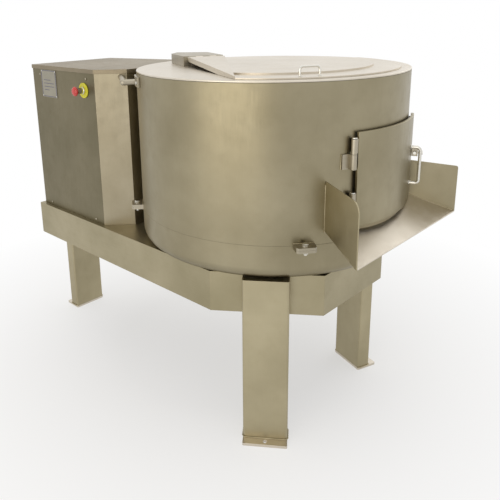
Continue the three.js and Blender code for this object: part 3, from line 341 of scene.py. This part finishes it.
def extruded(outline, z0, z1, bm=None):
    """A plate over an outline of points, from one height to another."""
    bm = bm or bmesh.new()
    low = [bm.verts.new(Vector((p.x, p.y, z0))) for p in outline]
    high = [bm.verts.new(Vector((p.x, p.y, z1))) for p in outline]
    strip(bm, [low, high], False)
    bm.faces.new(low[::-1])
    bm.faces.new(high)
    return bm


def swept(path, radius, sides=18, closed=False, bm=None, ripple=0.0):
    """A round bar along a path. ripple varies the radius, as the scales of a weld bead do."""
    bm = bm or bmesh.new()
    rings = []
    count = len(path)
    normal = None
    for i, p in enumerate(path):
        before = path[i - 1] if closed or i > 0 else p
        after = path[(i + 1) % count] if closed or i < count - 1 else p
        along = (after - before).normalized()
        if normal is None:
            side = Vector((0, 0, 1)) if abs(along.z) < 0.9 else Vector((1, 0, 0))
            normal = (side - along * side.dot(along)).normalized()
        else:
            normal = (normal - along * normal.dot(along)).normalized()
        across = along.cross(normal)
        # a quick wave for the bead's scales and a slow one for the hand that laid it
        r = radius * (1 + ripple * math.sin(i * 2.1) + ripple * 0.6 * math.sin(i * 0.37 + 1))
        ring = []
        for j in range(sides):
            a = 2 * math.pi * j / sides
            ring.append(bm.verts.new(p + (normal * math.cos(a) + across * math.sin(a)) * r))
        rings.append(ring)
    strip(bm, rings, closed)
    if not closed:
        bm.faces.new(rings[0][::-1])
        bm.faces.new(rings[-1])
    return bm


def bent_path(corners, bend, steps=10):
    """Straight runs joined by round bends."""
    path = [corners[0]]
    for before, here, after in zip(corners, corners[1:], corners[2:]):
        a = here + (before - here).normalized() * bend
        b = here + (after - here).normalized() * bend
        centre = a + b - here
        for s in range(steps + 1):
            t = math.pi / 2 * s / steps
            path.append(centre + (here - b) * math.cos(t) + (here - a) * math.sin(t))
    path.append(corners[-1])
    return path


def along(a, b, step=4 * MM):
    """Points from a to b, one step apart."""
    count = max(2, round((b - a).length / step))
    return [a.lerp(b, i / count) for i in range(count + 1)]


def weld(name, paths, radius=2.2 * MM, body=FRAME_BODY):
    """Rippled beads along each path."""
    bm = bmesh.new()
    for path in paths:
        swept(path, radius, 8, False, bm, 0.14)
    return piece(name, bm, weld_metal, body, sharp=60)


def hexagon(bm, centre, up, across_flats, height):
    """A hexagon head with its corners turned off, standing on centre."""
    r = across_flats / math.sqrt(3)
    lift = up.to_track_quat("Z", "Y").to_matrix()
    rings = []
    for size, h in ((0.97, 0.0), (1.0, 0.04), (1.0, 0.82), (0.93, 0.94), (0.84, 1.0)):
        ring = []
        for i in range(24):
            a = 2 * math.pi * i / 24
            flat = math.cos(math.pi / 6) / math.cos((a % (math.pi / 3)) - math.pi / 6)
            reach = min(flat, 1.0 if h < 0.9 else 0.93) * size * r
            spot = Vector((reach * math.cos(a), reach * math.sin(a), h * height))
            ring.append(bm.verts.new(centre + lift @ spot))
        rings.append(ring)
    strip(bm, rings, False)
    bm.faces.new(rings[0][::-1])
    bm.faces.new(rings[-1])


def washer(bm, centre, up, inner, outer, height):
    """A flat washer with its outer edge broken."""
    profile = [
        (inner, 0), (outer, 0), (outer, height * 0.8), (outer - height * 0.2, height), (inner, height),
    ]
    revolved(profile, centre, up, 32, bm)


# ------------------------------------------------------------------ drum
wall_low, wall_high = box("drum_shell")
gasket_low, gasket_high = box("door_gasket")
GASKET_EDGE = 12 * MM  # rubber outside the opening, above and below
opening_z = (gasket_low.z + GASKET_EDGE, gasket_high.z - GASKET_EDGE)


def gasket_span():
    """First and last angle of the gasket round the drum."""
    angles = [degrees_of(v.co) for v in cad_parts["door_gasket"].data.vertices]
    return min(angles), max(angles)


gasket_from, gasket_to = gasket_span()
GASKET_SIDE = 1.2  # degrees of rubber beside the opening
opening_angles = (gasket_from + GASKET_SIDE, gasket_to - GASKET_SIDE)


def curved_sheet(r_in, r_out, angles, levels, hole=None, whole=False):
    """Sheet bent round the drum; hole is (from, to, low, high) and whole closes the ring."""
    bm = bmesh.new()
    columns = len(angles) if whole else len(angles) - 1
    grid = [[[bm.verts.new(polar(r, a, z)) for z in levels] for a in angles] for r in (r_in, r_out)]

    def there(i, j):
        if j < 0 or j >= len(levels) - 1:
            return False
        if not whole and (i < 0 or i >= columns):
            return False
        i %= len(angles)
        if hole is None:
            return True
        a = angles[i] + 0.01
        z = (levels[j] + levels[j + 1]) / 2
        return not (hole[0] < a < hole[1] and hole[2] < z < hole[3])

    def corner(side, i, j):
        return grid[side][i % len(angles)][j]

    for i in range(columns):
        for j in range(len(levels) - 1):
            if not there(i, j):
                continue
            for side in (0, 1):
                bm.faces.new([corner(side, i, j), corner(side, i + 1, j),
                              corner(side, i + 1, j + 1), corner(side, i, j + 1)])
            edges = {
                (-1, 0): ((i, j), (i, j + 1)), (1, 0): ((i + 1, j), (i + 1, j + 1)),
                (0, -1): ((i, j), (i + 1, j)), (0, 1): ((i, j + 1), (i + 1, j + 1)),
            }
            for (di, dj), (p, q) in edges.items():
                if not there(i + di, j + dj):
                    bm.faces.new([corner(0, *p), corner(0, *q), corner(1, *q), corner(1, *p)])
    bmesh.ops.remove_doubles(bm, verts=bm.verts, dist=0.01 * MM)
    bmesh.ops.recalc_face_normals(bm, faces=bm.faces)
    return bm


ROUND_STEP = 1.25  # degrees
ring_angles = sorted([-180 + i * ROUND_STEP for i in range(int(360 / ROUND_STEP))] + list(opening_angles))
wall_levels = [wall_low.z, opening_z[0], opening_z[1], wall_high.z]
bm = curved_sheet(DRUM_R - SHEET, DRUM_R, ring_angles, wall_levels, (*opening_angles, *opening_z), True)
soften(bm, 0.7 * MM, 2, 50)
piece("drum_wall", bm, brushed, nodes=["drum_shell"])

dish_low, dish_high = box("drum_bottom")
HOUSING_HOLE_R = 69.5 * MM  # the dish's hole for the bearing housing
KNUCKLE = 45 * MM  # radius of the dish's turn from bottom to wall
KNUCKLE_STEPS = 14
RIM_EDGE = 0.6 * MM


def dish_profile():
    """The dish from its middle hole up the outside to the rim, and back down the inside."""
    outer = [(HOUSING_HOLE_R, dish_low.z)]
    inner = []
    for i in range(KNUCKLE_STEPS + 1):
        a = math.radians(-90 + 90 * i / KNUCKLE_STEPS)
        for points, r in ((outer, KNUCKLE), (inner, KNUCKLE - SHEET)):
            points.append((DRUM_R - KNUCKLE + r * math.cos(a), dish_low.z + KNUCKLE + r * math.sin(a)))
    top = dish_high.z
    rim = [(DRUM_R, top - RIM_EDGE), (DRUM_R - RIM_EDGE, top), (DRUM_R - SHEET, top)]
    return outer + rim + inner[::-1] + [(HOUSING_HOLE_R, dish_low.z + SHEET)]


bm = revolved(dish_profile(), AXIS, steps=216)
piece("drum_dish", bm, brushed, nodes=["drum_bottom"])

# lugs that clamp the drum's halves, with their bolts, washers and nuts
bolts = [f"lug_bolt_{i}" for i in (1, 2, 3, 4)]
BOLT_R = 6 * MM
BOLT_FLATS = 19 * MM
BOLT_HEAD_H = 6.4 * MM
NUT_H = 7.6 * MM
WASHER = (6.3 * MM, 12 * MM, 2 * MM)  # radius of the hole, outer radius, thickness
SHANK_FROM, SHANK_TO = -24 * MM, 8 * MM  # heights from the seam
LUG_W = 71 * MM
LUG_T = 9 * MM
LUG_OUT = 44 * MM
BEAD_STEP = 3 * MM
seam_z = dish_high.z
lug_bm = bmesh.new()
bolt_bm = bmesh.new()
lug_beads = []
for name in bolts:
    centre = middle(name)
    out = Vector((centre.x - AXIS.x, centre.y - AXIS.y, 0)).normalized()
    side = Vector((-out.y, out.x, 0))
    foot = AXIS + out * (DRUM_R - 1 * MM)
    half = LUG_W / 2
    # a lug from above: out from the drum and along it, with its outer corners clipped
    shape = [(0, -half), (LUG_OUT - 6 * MM, -half + 2 * MM), (LUG_OUT + 1 * MM, -half + 9 * MM),
             (LUG_OUT + 1 * MM, half - 9 * MM), (LUG_OUT - 6 * MM, half - 2 * MM), (0, half)]
    outline = [foot + out * u + side * v for u, v in shape]
    for z0, z1 in ((seam_z + 0.3 * MM, seam_z + 0.3 * MM + LUG_T), (seam_z - LUG_T, seam_z)):
        extruded(outline, z0, z1, lug_bm)
        edge = z1 if z1 > seam_z else z0
        root = AXIS + out * (DRUM_R + 0.6 * MM)
        ends = [root + side * v + Vector((0, 0, edge)) for v in (-half, half)]
        bead = []
        for p in along(ends[0], ends[1], BEAD_STEP):
            done = (p - ends[0]).length
            bead.append(p - out * (done * (LUG_W - done) / (-2 * DRUM_R)))
        lug_beads.append(bead)
    spot = Vector((centre.x, centre.y, 0))
    up = Vector((0, 0, 1))
    washer(bolt_bm, spot + up * (seam_z + LUG_T + 0.4 * MM), up, *WASHER)
    hexagon(bolt_bm, spot + up * (seam_z + LUG_T + 2.5 * MM), up, BOLT_FLATS, BOLT_HEAD_H)
    washer(bolt_bm, spot + up * (seam_z - LUG_T - 0.2 * MM), -up, *WASHER)
    hexagon(bolt_bm, spot + up * (seam_z - LUG_T - 2.3 * MM), -up, BOLT_FLATS, NUT_H)
    shank = [(0, SHANK_FROM), (BOLT_R, SHANK_FROM), (BOLT_R, SHANK_TO), (0, SHANK_TO)]
    revolved(rounded_profile(shank, 1 * MM), spot + up * seam_z, up, 24, bolt_bm)
soften(lug_bm, 1.4 * MM, 3)
piece("seam_lugs", lug_bm, fitting)
piece("seam_lug_bolts", bolt_bm, polished, nodes=bolts)
weld("seam_lug_welds", lug_beads, 1.8 * MM)

# ------------------------------------------------------------------ top plate, lid, hinge
# The top and the lid carry the satin plate's pale tone, a painted sheen.
softened("top_plate", satin, width=2.2 * MM, steps=4)
softened("lid", satin, "top_lid", 0.9 * MM, 3)
softened("lid_hinge_box", fitting, width=1.6 * MM, steps=3)
softened("lid_hinge_pin", polished, width=0.8 * MM)


def handle(name, node, foot_a, foot_b, out, rod, bend, body, material):
    """A bent rod with a welded collar at each foot."""
    tip = out.length
    reach = out.normalized()
    path = bent_path([foot_a, foot_a + out, foot_b + out, foot_b], min(bend, tip * 0.45))
    bm = swept(path, rod, 20)
    for foot in (foot_a, foot_b):
        collar = [
            (rod * 0.9, 0), (rod + 2.4 * MM, 0), (rod + 1.6 * MM, 1.2 * MM), (rod * 0.95, 2.6 * MM),
        ]
        revolved(collar, foot, reach, 24, bm)
    return piece(name, bm, material, body, [node])


lid_handle_low, lid_handle_high = box("lid_handle")
lid_spot = (lid_handle_low + lid_handle_high) / 2
lid_out = Vector((lid_spot.x - AXIS.x, lid_spot.y - AXIS.y, 0)).normalized()
lid_side = Vector((-lid_out.y, lid_out.x, 0))
LID_ROD = 4 * MM
LID_HALF_SPAN = 33  # millimetres from the handle's middle to the middle of each foot
LID_BEND = 11 * MM
lid_foot = Vector((lid_spot.x, lid_spot.y, lid_handle_low.z))
lid_rise = Vector((0, 0, lid_handle_high.z - lid_handle_low.z - LID_ROD))
handle("lid_bow_handle", "lid_handle",
       lid_foot - lid_side * LID_HALF_SPAN * MM, lid_foot + lid_side * LID_HALF_SPAN * MM,
       lid_rise, LID_ROD, LID_BEND, "top_lid", polished)

# ------------------------------------------------------------------ door
DOOR_FROM, DOOR_TO = -20.0, 28.0  # degrees round the drum
door_low, door_high = box("door")
DOOR_R = 538 * MM
DOOR_T = 11 * MM
DOOR_STEPS = 64
door_ring = [DOOR_FROM + (DOOR_TO - DOOR_FROM) * i / DOOR_STEPS for i in range(DOOR_STEPS + 1)]
bm = curved_sheet(DOOR_R - DOOR_T, DOOR_R, door_ring, [door_low.z, door_high.z])
soften(bm, 2.6 * MM, 4, 50)
piece("door_panel", bm, brushed, "side_door")

PIN_R = 5 * MM
BARREL_R = 10 * MM
KNUCKLE_GAP = 0.6 * MM  # between a knuckle and the bracket under it
PIN_CAP = 6.3 * MM  # what the pin's head takes of its height
LEAF_HALF_W = 36 * MM
hinge_nodes = ["door_hinge_pin_1", "door_hinge_pin_2"]
door_bm = bmesh.new()
pin_bm = bmesh.new()
leaf_beads = []
for pin in hinge_nodes:
    low, high = box(pin)
    spot = Vector(((low.x + high.x) / 2, (low.y + high.y) / 2, 0))
    bracket = pin.replace("pin", "bracket")
    joint_z = box(bracket)[1].z
    knuckle_top = high.z - PIN_CAP
    tube_top = knuckle_top - joint_z - KNUCKLE_GAP
    bore = PIN_R + 0.5 * MM
    tube = rounded_profile([(bore, 0), (BARREL_R, 0), (BARREL_R, tube_top), (bore, tube_top)], 1.2 * MM)
    revolved(tube, spot + Vector((0, 0, joint_z + KNUCKLE_GAP)), steps=32, bm=door_bm)
    hinge_angle = degrees_of(spot)
    # the web from knuckle to door, in millimetres: in from the door's face, and along it
    web = [polar(DOOR_R - u * MM, hinge_angle + math.degrees(v * MM / DOOR_R)) for u, v in
           ((9, 6), (9, 22), (2, 22), (1.5, 9))]
    extruded(web, joint_z + 1.5 * MM, knuckle_top - 1.5 * MM, door_bm)
    cap = rounded_profile([(0, 0), (9 * MM, 0), (9 * MM, 4.5 * MM), (0, 5.6 * MM)], 1.8 * MM)
    revolved(cap, spot + Vector((0, 0, knuckle_top + 0.4 * MM)), steps=32, bm=pin_bm)
    shaft_top = knuckle_top + 1 * MM - low.z
    shaft = rounded_profile([(0, 0), (PIN_R, 0), (PIN_R, shaft_top), (0, shaft_top)], 1 * MM)
    revolved(shaft, spot + Vector((0, 0, low.z)), steps=28, bm=pin_bm)
    softened(bracket, fitting, width=0.9 * MM, steps=3)
    leaf_low, leaf_high = box(bracket)
    edge = math.degrees(LEAF_HALF_W / DRUM_R)
    leaf_beads.append(along(polar(DRUM_R + 1 * MM, hinge_angle - edge, leaf_low.z),
                            polar(DRUM_R + 1 * MM, hinge_angle - edge, leaf_high.z), BEAD_STEP))
piece("door_knuckles", door_bm, fitting, "side_door")
piece("door_hinge_pins", pin_bm, polished, nodes=hinge_nodes)
weld("hinge_leaf_welds", leaf_beads, 1.8 * MM)
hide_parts("door")

handle_low, handle_high = box("door_handle")
handle_angle = degrees_of((handle_low + handle_high) / 2)
DOOR_ROD = 6 * MM
DOOR_REACH = 32  # millimetres from the door to the middle of the rod
DOOR_BEND = 13 * MM
reach = polar(1.0, handle_angle) - AXIS
door_foot = AXIS + reach * (DOOR_R + 0.3 * MM)
span_low = Vector((0, 0, handle_low.z + DOOR_ROD))
span_high = Vector((0, 0, handle_high.z - DOOR_ROD))
handle("door_bow_handle", "door_handle", door_foot + span_low, door_foot + span_high,
       reach * DOOR_REACH * MM, DOOR_ROD, DOOR_BEND, "side_door", polished)
softened("latch_block", fitting, "side_door", 1.2 * MM, 3)
softened("latch_bolt", polished, "door_latch", 0.8 * MM, 3)
softened("latch_keeper", fitting, width=1.2 * MM, steps=3)
softened("door_gasket", rubber, width=1.2 * MM, steps=3)

# ------------------------------------------------------------------ chute
# The chute's floor carries the satin plate's pale tone, a painted sheen.
softened("chute_floor", satin, width=0.9 * MM)
CHUTE_TOP = box("chute_floor")[1].z
CHUTE_SLOPE = 0.345
CHEEK_ANGLE = 31.0  # degrees round the drum from the chute's middle to a cheek's foot
CHEEK_INSET = 4  # millimetres of a cheek's foot left bare at each end of its bead


def lift_to_floor(point):
    """The height of the chute floor's upper side over a point."""
    highest = AXIS.x + DRUM_R * math.cos(math.radians(CHEEK_ANGLE))
    return Vector((0, 0, CHUTE_TOP - CHUTE_SLOPE * (point.x - highest)))


# The front cheek takes the plate painted paler, a painted highlight; the rear cheek keeps the plain sheet.
softened("chute_cheek_front", heavy_plate, width=1.1 * MM, steps=3)
softened("chute_cheek_rear", brushed, width=1.1 * MM, steps=3)
chute_beads = []
for cheek_name, side in (("chute_cheek_front", -1), ("chute_cheek_rear", 1)):
    plan = plan_corners(cheek_name)
    plan.sort(key=lambda p: (p - AXIS).length)
    near = plan[:2]
    far = plan[2:]
    foot_in = min(near, key=lambda p: abs(p.y - AXIS.y))
    foot_out = max(near, key=lambda p: abs(p.y - AXIS.y))
    tip_in = min(far, key=lambda p: abs(p.y - AXIS.y))
    run = (tip_in - foot_in).normalized()
    cheek_top = box(cheek_name)[1].z
    upright = [foot_out + Vector((0, 0, z)) for z in (CHUTE_TOP - 10 * MM, cheek_top - 12 * MM)]
    chute_beads.append(along(*upright))
    inward = Vector((0, -side * 0.6 * MM, 0))
    ends = (foot_in + run * CHEEK_INSET * MM, tip_in - run * CHEEK_INSET * MM)
    chute_beads.append(along(*(end + inward + lift_to_floor(end) for end in ends)))
weld("chute_welds", chute_beads, 1.6 * MM)

# ------------------------------------------------------------------ deck and legs
softened("deck_shell", brushed_long, width=2.2 * MM, steps=3)
softened("deck_bottom_cover", dull, width=0.6 * MM)
deck = plan_corners("deck_shell")
deck_low, deck_high = box("deck_shell")
LEG_BEAD_SIDE = 80  # millimetres from a leg's middle to its upright beads
# The bead round a leg on its foot plate, in millimetres: along the deck's face, and out from it.
FOOT_BEAD = [(-76, 1.0), (-81.5, 8), (-81.5, 53), (-76, 61.5), (76, 61.5), (81.5, 53), (81.5, 8), (76, 1.0)]
LEG_MIDDLE_OUT = 30 * MM  # from the deck's face to a leg's middle
leg_beads = []
for place in ("left", "front", "rear"):
    # the legs take the plate painted paler: painted light on their lit faces
    softened(f"leg_{place}", heavy_plate, width=1.0 * MM)
    # the foot plates carry the satin plate's pale tone, a painted highlight
    softened(f"foot_plate_{place}", satin, width=1.2 * MM, steps=3)
    leg_middle = middle(f"leg_{place}")
    spans = []
    for i, a in enumerate(deck):
        b = deck[(i + 1) % len(deck)]
        along_face = (b - a).normalized()
        out = Vector((along_face.y, -along_face.x, 0))
        away = out.dot(Vector((leg_middle.x, leg_middle.y, 0)) - a)
        face_middle = (a + b) / 2
        misfit = abs(away - LEG_MIDDLE_OUT) + abs((leg_middle - face_middle).xy.length - away)
        spans.append((misfit, along_face, out, face_middle))
    _, run, out, centre = min(spans, key=lambda s: s[0])
    for side in (-1, 1):
        spot = centre + run * side * LEG_BEAD_SIDE * MM + out * 1.2 * MM
        upright = [spot + Vector((0, 0, z)) for z in (deck_low.z + 2 * MM, deck_high.z - 6 * MM)]
        leg_beads.append(along(*upright))
    foot_top = box(f"foot_plate_{place}")[1].z
    height = Vector((0, 0, foot_top + 1 * MM))
    corners = [centre + run * u * MM + out * v * MM + height for u, v in FOOT_BEAD]
    path = []
    for a, b in zip(corners, corners[1:]):
        path += along(a, b)[:-1]
    leg_beads.append(path + [corners[-1]])
weld("leg_welds", leg_beads, 2.4 * MM)

# ------------------------------------------------------------------ cabinet
# painted light: the casing is painted paler than the panel
softened("cabinet_casing", casing_sheet, width=2.0 * MM, steps=3)
# painted shade: the front panel is painted darker than the casing
softened("cabinet_front_panel", panel_sheet, width=0.9 * MM)
softened("cabinet_top_cover", cover_sheet, width=1.6 * MM, steps=3)
panel_y = box("cabinet_front_panel")[0].y
OUT_OF_PANEL = Vector((0, -1, 0))
screw_nodes = [f"panel_screw_{i}" for i in (1, 2, 3, 4)]
screw_bm = bmesh.new()
# the shank behind the panel, then the domed head with its socket
button_screw = [
    (0, -8 * MM), (3 * MM, -8 * MM), (3 * MM, 0), (5.2 * MM, 0), (4.8 * MM, 2.0 * MM),
    (1.6 * MM, 3.3 * MM), (1.4 * MM, 2.0 * MM), (0, 2.0 * MM),
]
for name in screw_nodes:
    spot = middle(name)
    spot.y = panel_y - 0.3 * MM
    revolved(rounded_profile(button_screw, 0.5 * MM, 3), spot, OUT_OF_PANEL, 28, screw_bm)
piece("panel_button_screws", screw_bm, fitting, nodes=screw_nodes)

softened("nameplate", aluminium, width=0.4 * MM)
plate_low, plate_high = box("nameplate")
RIVET_INSET = 6 * MM
rivet = [(0, -1.5 * MM), (3 * MM, -1.5 * MM), (3 * MM, 0.6 * MM), (0, 1.5 * MM)]
rivet_bm = bmesh.new()
for x in (plate_low.x + RIVET_INSET, plate_high.x - RIVET_INSET):
    for z in (plate_low.z + RIVET_INSET, plate_high.z - RIVET_INSET):
        spot = Vector((x, plate_low.y, z))
        revolved(rounded_profile(rivet, 0.9 * MM), spot, OUT_OF_PANEL, 24, rivet_bm)
piece("nameplate_rivets", rivet_bm, polished)

# printed border and ruled lines; the plate carries no words
ink_bm = bmesh.new()
plate_w = plate_high.x - plate_low.x
plate_h = plate_high.z - plate_low.z


def printed(x0, x1, z0, z1):
    """A patch of ink between shares of the plate's width and height."""
    corners = [Vector((plate_low.x + x * plate_w, plate_low.y + y, 0)) for x, y in
               ((x0, -0.1 * MM), (x1, -0.1 * MM), (x1, 0.1 * MM), (x0, 0.1 * MM))]
    extruded(corners, plate_low.z + z0 * plate_h, plate_low.z + z1 * plate_h, ink_bm)


for z0, z1 in ((0.02, 0.04), (0.96, 0.98)):
    printed(0.02, 0.98, z0, z1)
for x0, x1 in ((0.02, 0.05), (0.95, 0.98)):
    printed(x0, x1, 0.04, 0.96)
for x1, z in ((0.62, 0.62), (0.84, 0.5), (0.84, 0.38), (0.5, 0.26)):
    printed(0.16, x1, z, z + 0.02)
piece("nameplate_print", ink_bm, ink)

# ------------------------------------------------------------------ emergency stop
softened("stop_plate", yellow_plastic, width=1.2 * MM, steps=3)
softened("stop_collar", polished, width=0.7 * MM)
stop_low, stop_high = box("stop_button")
stop_spot = Vector(((stop_low.x + stop_high.x) / 2, stop_high.y, (stop_low.z + stop_high.z) / 2))
stop_long = stop_high.y - stop_low.y
STOP_R = (stop_high.x - stop_low.x) / 2
head_base = stop_long - 14 * MM
STEM_R = 7 * MM
button = [
    (0, 0), (STEM_R, 0), (STEM_R, head_base), (STOP_R - 3 * MM, head_base), (STOP_R, head_base + 2.2 * MM),
    (STOP_R, head_base + 5 * MM), (STOP_R - 2.5 * MM, head_base + 9 * MM),
    (STOP_R - 7 * MM, stop_long - 2 * MM), (0, stop_long),
]
piece("stop_mushroom", revolved(rounded_profile(button, 2.4 * MM, 5), stop_spot, OUT_OF_PANEL, 56),
      red_plastic, "stop_head", ["stop_button"])

# ------------------------------------------------------------------ water inlet and drain
softened("inlet_pipe", fitting, width=0.5 * MM)
softened("inlet_flange", fitting, width=1.2 * MM, steps=3)
inlet_nodes = ["inlet_screw_1", "inlet_screw_2"]
INLET_FLANGE_FACE = 8.3 * MM  # from the drum to where the screws' heads stand
inlet_bm = bmesh.new()
for name in inlet_nodes:
    spot = middle(name)
    out = Vector((spot.x - AXIS.x, spot.y - AXIS.y, 0)).normalized()
    seat = AXIS + out * (DRUM_R + INLET_FLANGE_FACE) + Vector((0, 0, spot.z))
    hexagon(inlet_bm, seat, out, 11 * MM, 5.5 * MM)
piece("inlet_hex_screws", inlet_bm, polished, nodes=inlet_nodes)
softened("drain_outlet", fitting, width=0.6 * MM)

# ------------------------------------------------------------------ rotor, drive and motor
softened("rotor_plate", fitting, "rotor", 1.2 * MM)
softened("rotor_shaft", polished, "rotor", 1.5 * MM)
softened("driven_pulley", cast_iron, "rotor", 0.6 * MM)
softened("motor_shaft", polished, "motor_rotor", 1.2 * MM)
softened("motor_pulley", cast_iron, "motor_rotor", 0.6 * MM)
softened("bearing_housing", cast_iron, width=1.0 * MM)
softened("lower_bearing", polished, width=0.8 * MM)
softened("upper_bearing", polished, width=0.8 * MM)
softened("shaft_seal", rubber, width=0.8 * MM)
softened("drive_belt_1", rubber, width=0.5 * MM)
softened("drive_belt_2", rubber, width=0.5 * MM)
softened("motor_body", motor_paint, width=1.5 * MM, steps=3)

# ------------------------------------------------------------------ floor, light and camera
scene = bpy.context.scene
scene.view_settings.view_transform = "Standard"



def shown_directly(tree):
    """1 for what the camera sees, straight or in metal or glass, and 0 for the light that falls on the
    machine."""
    rays = add_node(tree, "ShaderNodeLightPath").outputs
    seen = combined(tree, "MAXIMUM", rays["Is Camera Ray"], rays["Is Glossy Ray"])
    return combined(tree, "MAXIMUM", seen, rays["Is Transmission Ray"])


material, tree = new_material("pale_studio_floor")
paint = add_node(tree, "ShaderNodeBsdfDiffuse", Color=colour("#F4F2EE"))
glow = add_node(tree, "ShaderNodeEmission", Color=(1, 1, 1, 1), Strength=1.0)
away = add_node(tree, "ShaderNodeVectorMath", {"operation": "LENGTH"},
                i0=add_node(tree, "ShaderNodeTexCoord").outputs["Object"]).outputs["Value"]
fade = remap(tree, away, 0.5, 1.9, 0.5, 1.0)
shown = combined(tree, "MULTIPLY", fade, shown_directly(tree))
shader = add_node(tree, "ShaderNodeMixShader", i0=shown, i1=paint.outputs[0], i2=glow.outputs[0])
finish_material(tree, shader)
FLOOR_HALF = 14.0  # metres from the middle to each side
FLOOR_Z = -0.5 * MM  # just under the feet
floor_corners = [(x * FLOOR_HALF, y * FLOOR_HALF, FLOOR_Z) for x, y in ((-1, -1), (1, -1), (1, 1), (-1, 1))]
floor_mesh = bpy.data.meshes.new("studio_floor")
floor_mesh.from_pydata(floor_corners, [], [(0, 1, 2, 3)])
floor_mesh.materials.append(material)
floor = bpy.data.objects.new("studio_floor", floor_mesh)
scene.collection.objects.link(floor)

world = bpy.data.worlds.new("soft_studio")
scene.world = world
world.use_nodes = True
tree = world.node_tree
tree.nodes.clear()
glow = add_node(tree, "ShaderNodeBackground", Color=(0.86, 0.86, 0.87, 1), Strength=0.75)
backdrop = add_node(tree, "ShaderNodeBackground", Color=(1, 1, 1, 1), Strength=1.0)
seen = shown_directly(tree)
both = add_node(tree, "ShaderNodeMixShader", i0=seen, i1=glow.outputs[0], i2=backdrop.outputs[0])
add_node(tree, "ShaderNodeOutputWorld", Surface=both.outputs[0])


def lamp(name, place, target, size, power, tint="#FFFFFF"):
    data = bpy.data.lights.new(name, "AREA")
    data.shape = "RECTANGLE"
    data.size, data.size_y = size
    data.energy = power
    data.color = colour(tint)[:3]
    obj = bpy.data.objects.new(name, data)
    obj.location = place
    obj.rotation_euler = (Vector(target) - Vector(place)).to_track_quat("-Z", "Y").to_euler()
    scene.collection.objects.link(obj)
    return obj


TARGET = (0.1, 0.0, 0.9)
lamp("key_softbox", (0.9, -4.2, 1.4), TARGET, (4.0, 2.6), 50, "#FFF8EC")
lamp("overhead_softbox", (-0.2, 0.3, 4.4), (0, 0, 0), (5.0, 5.0), 27)
lamp("back_softbox", (0.5, 4.2, 3.0), TARGET, (3.4, 2.2), 14)

camera_data = bpy.data.cameras.new("camera")
camera_data.sensor_width = 36.0
camera_data.lens = 41.35
camera_data.shift_x = 0.068
camera_data.shift_y = -0.167
camera = bpy.data.objects.new("camera", camera_data)
scene.collection.objects.link(camera)
CAMERA_PLACE = Vector((1.6806, -1.7638, 1.4960))
HEADING, DOWN, ROLL = (math.radians(a) for a in (-44.473, 14.953, -1.119))
ahead = Vector((math.sin(HEADING) * math.cos(DOWN), math.cos(HEADING) * math.cos(DOWN), -math.sin(DOWN)))
level = Vector((math.cos(HEADING), -math.sin(HEADING), 0))
under = ahead.cross(level)
right = level * math.cos(ROLL) - under * math.sin(ROLL)
lower = level * math.sin(ROLL) + under * math.cos(ROLL)
turned = Matrix((right, -lower, -ahead)).transposed().to_4x4()
camera.matrix_world = Matrix.Translation(CAMERA_PLACE) @ turned
scene.camera = camera
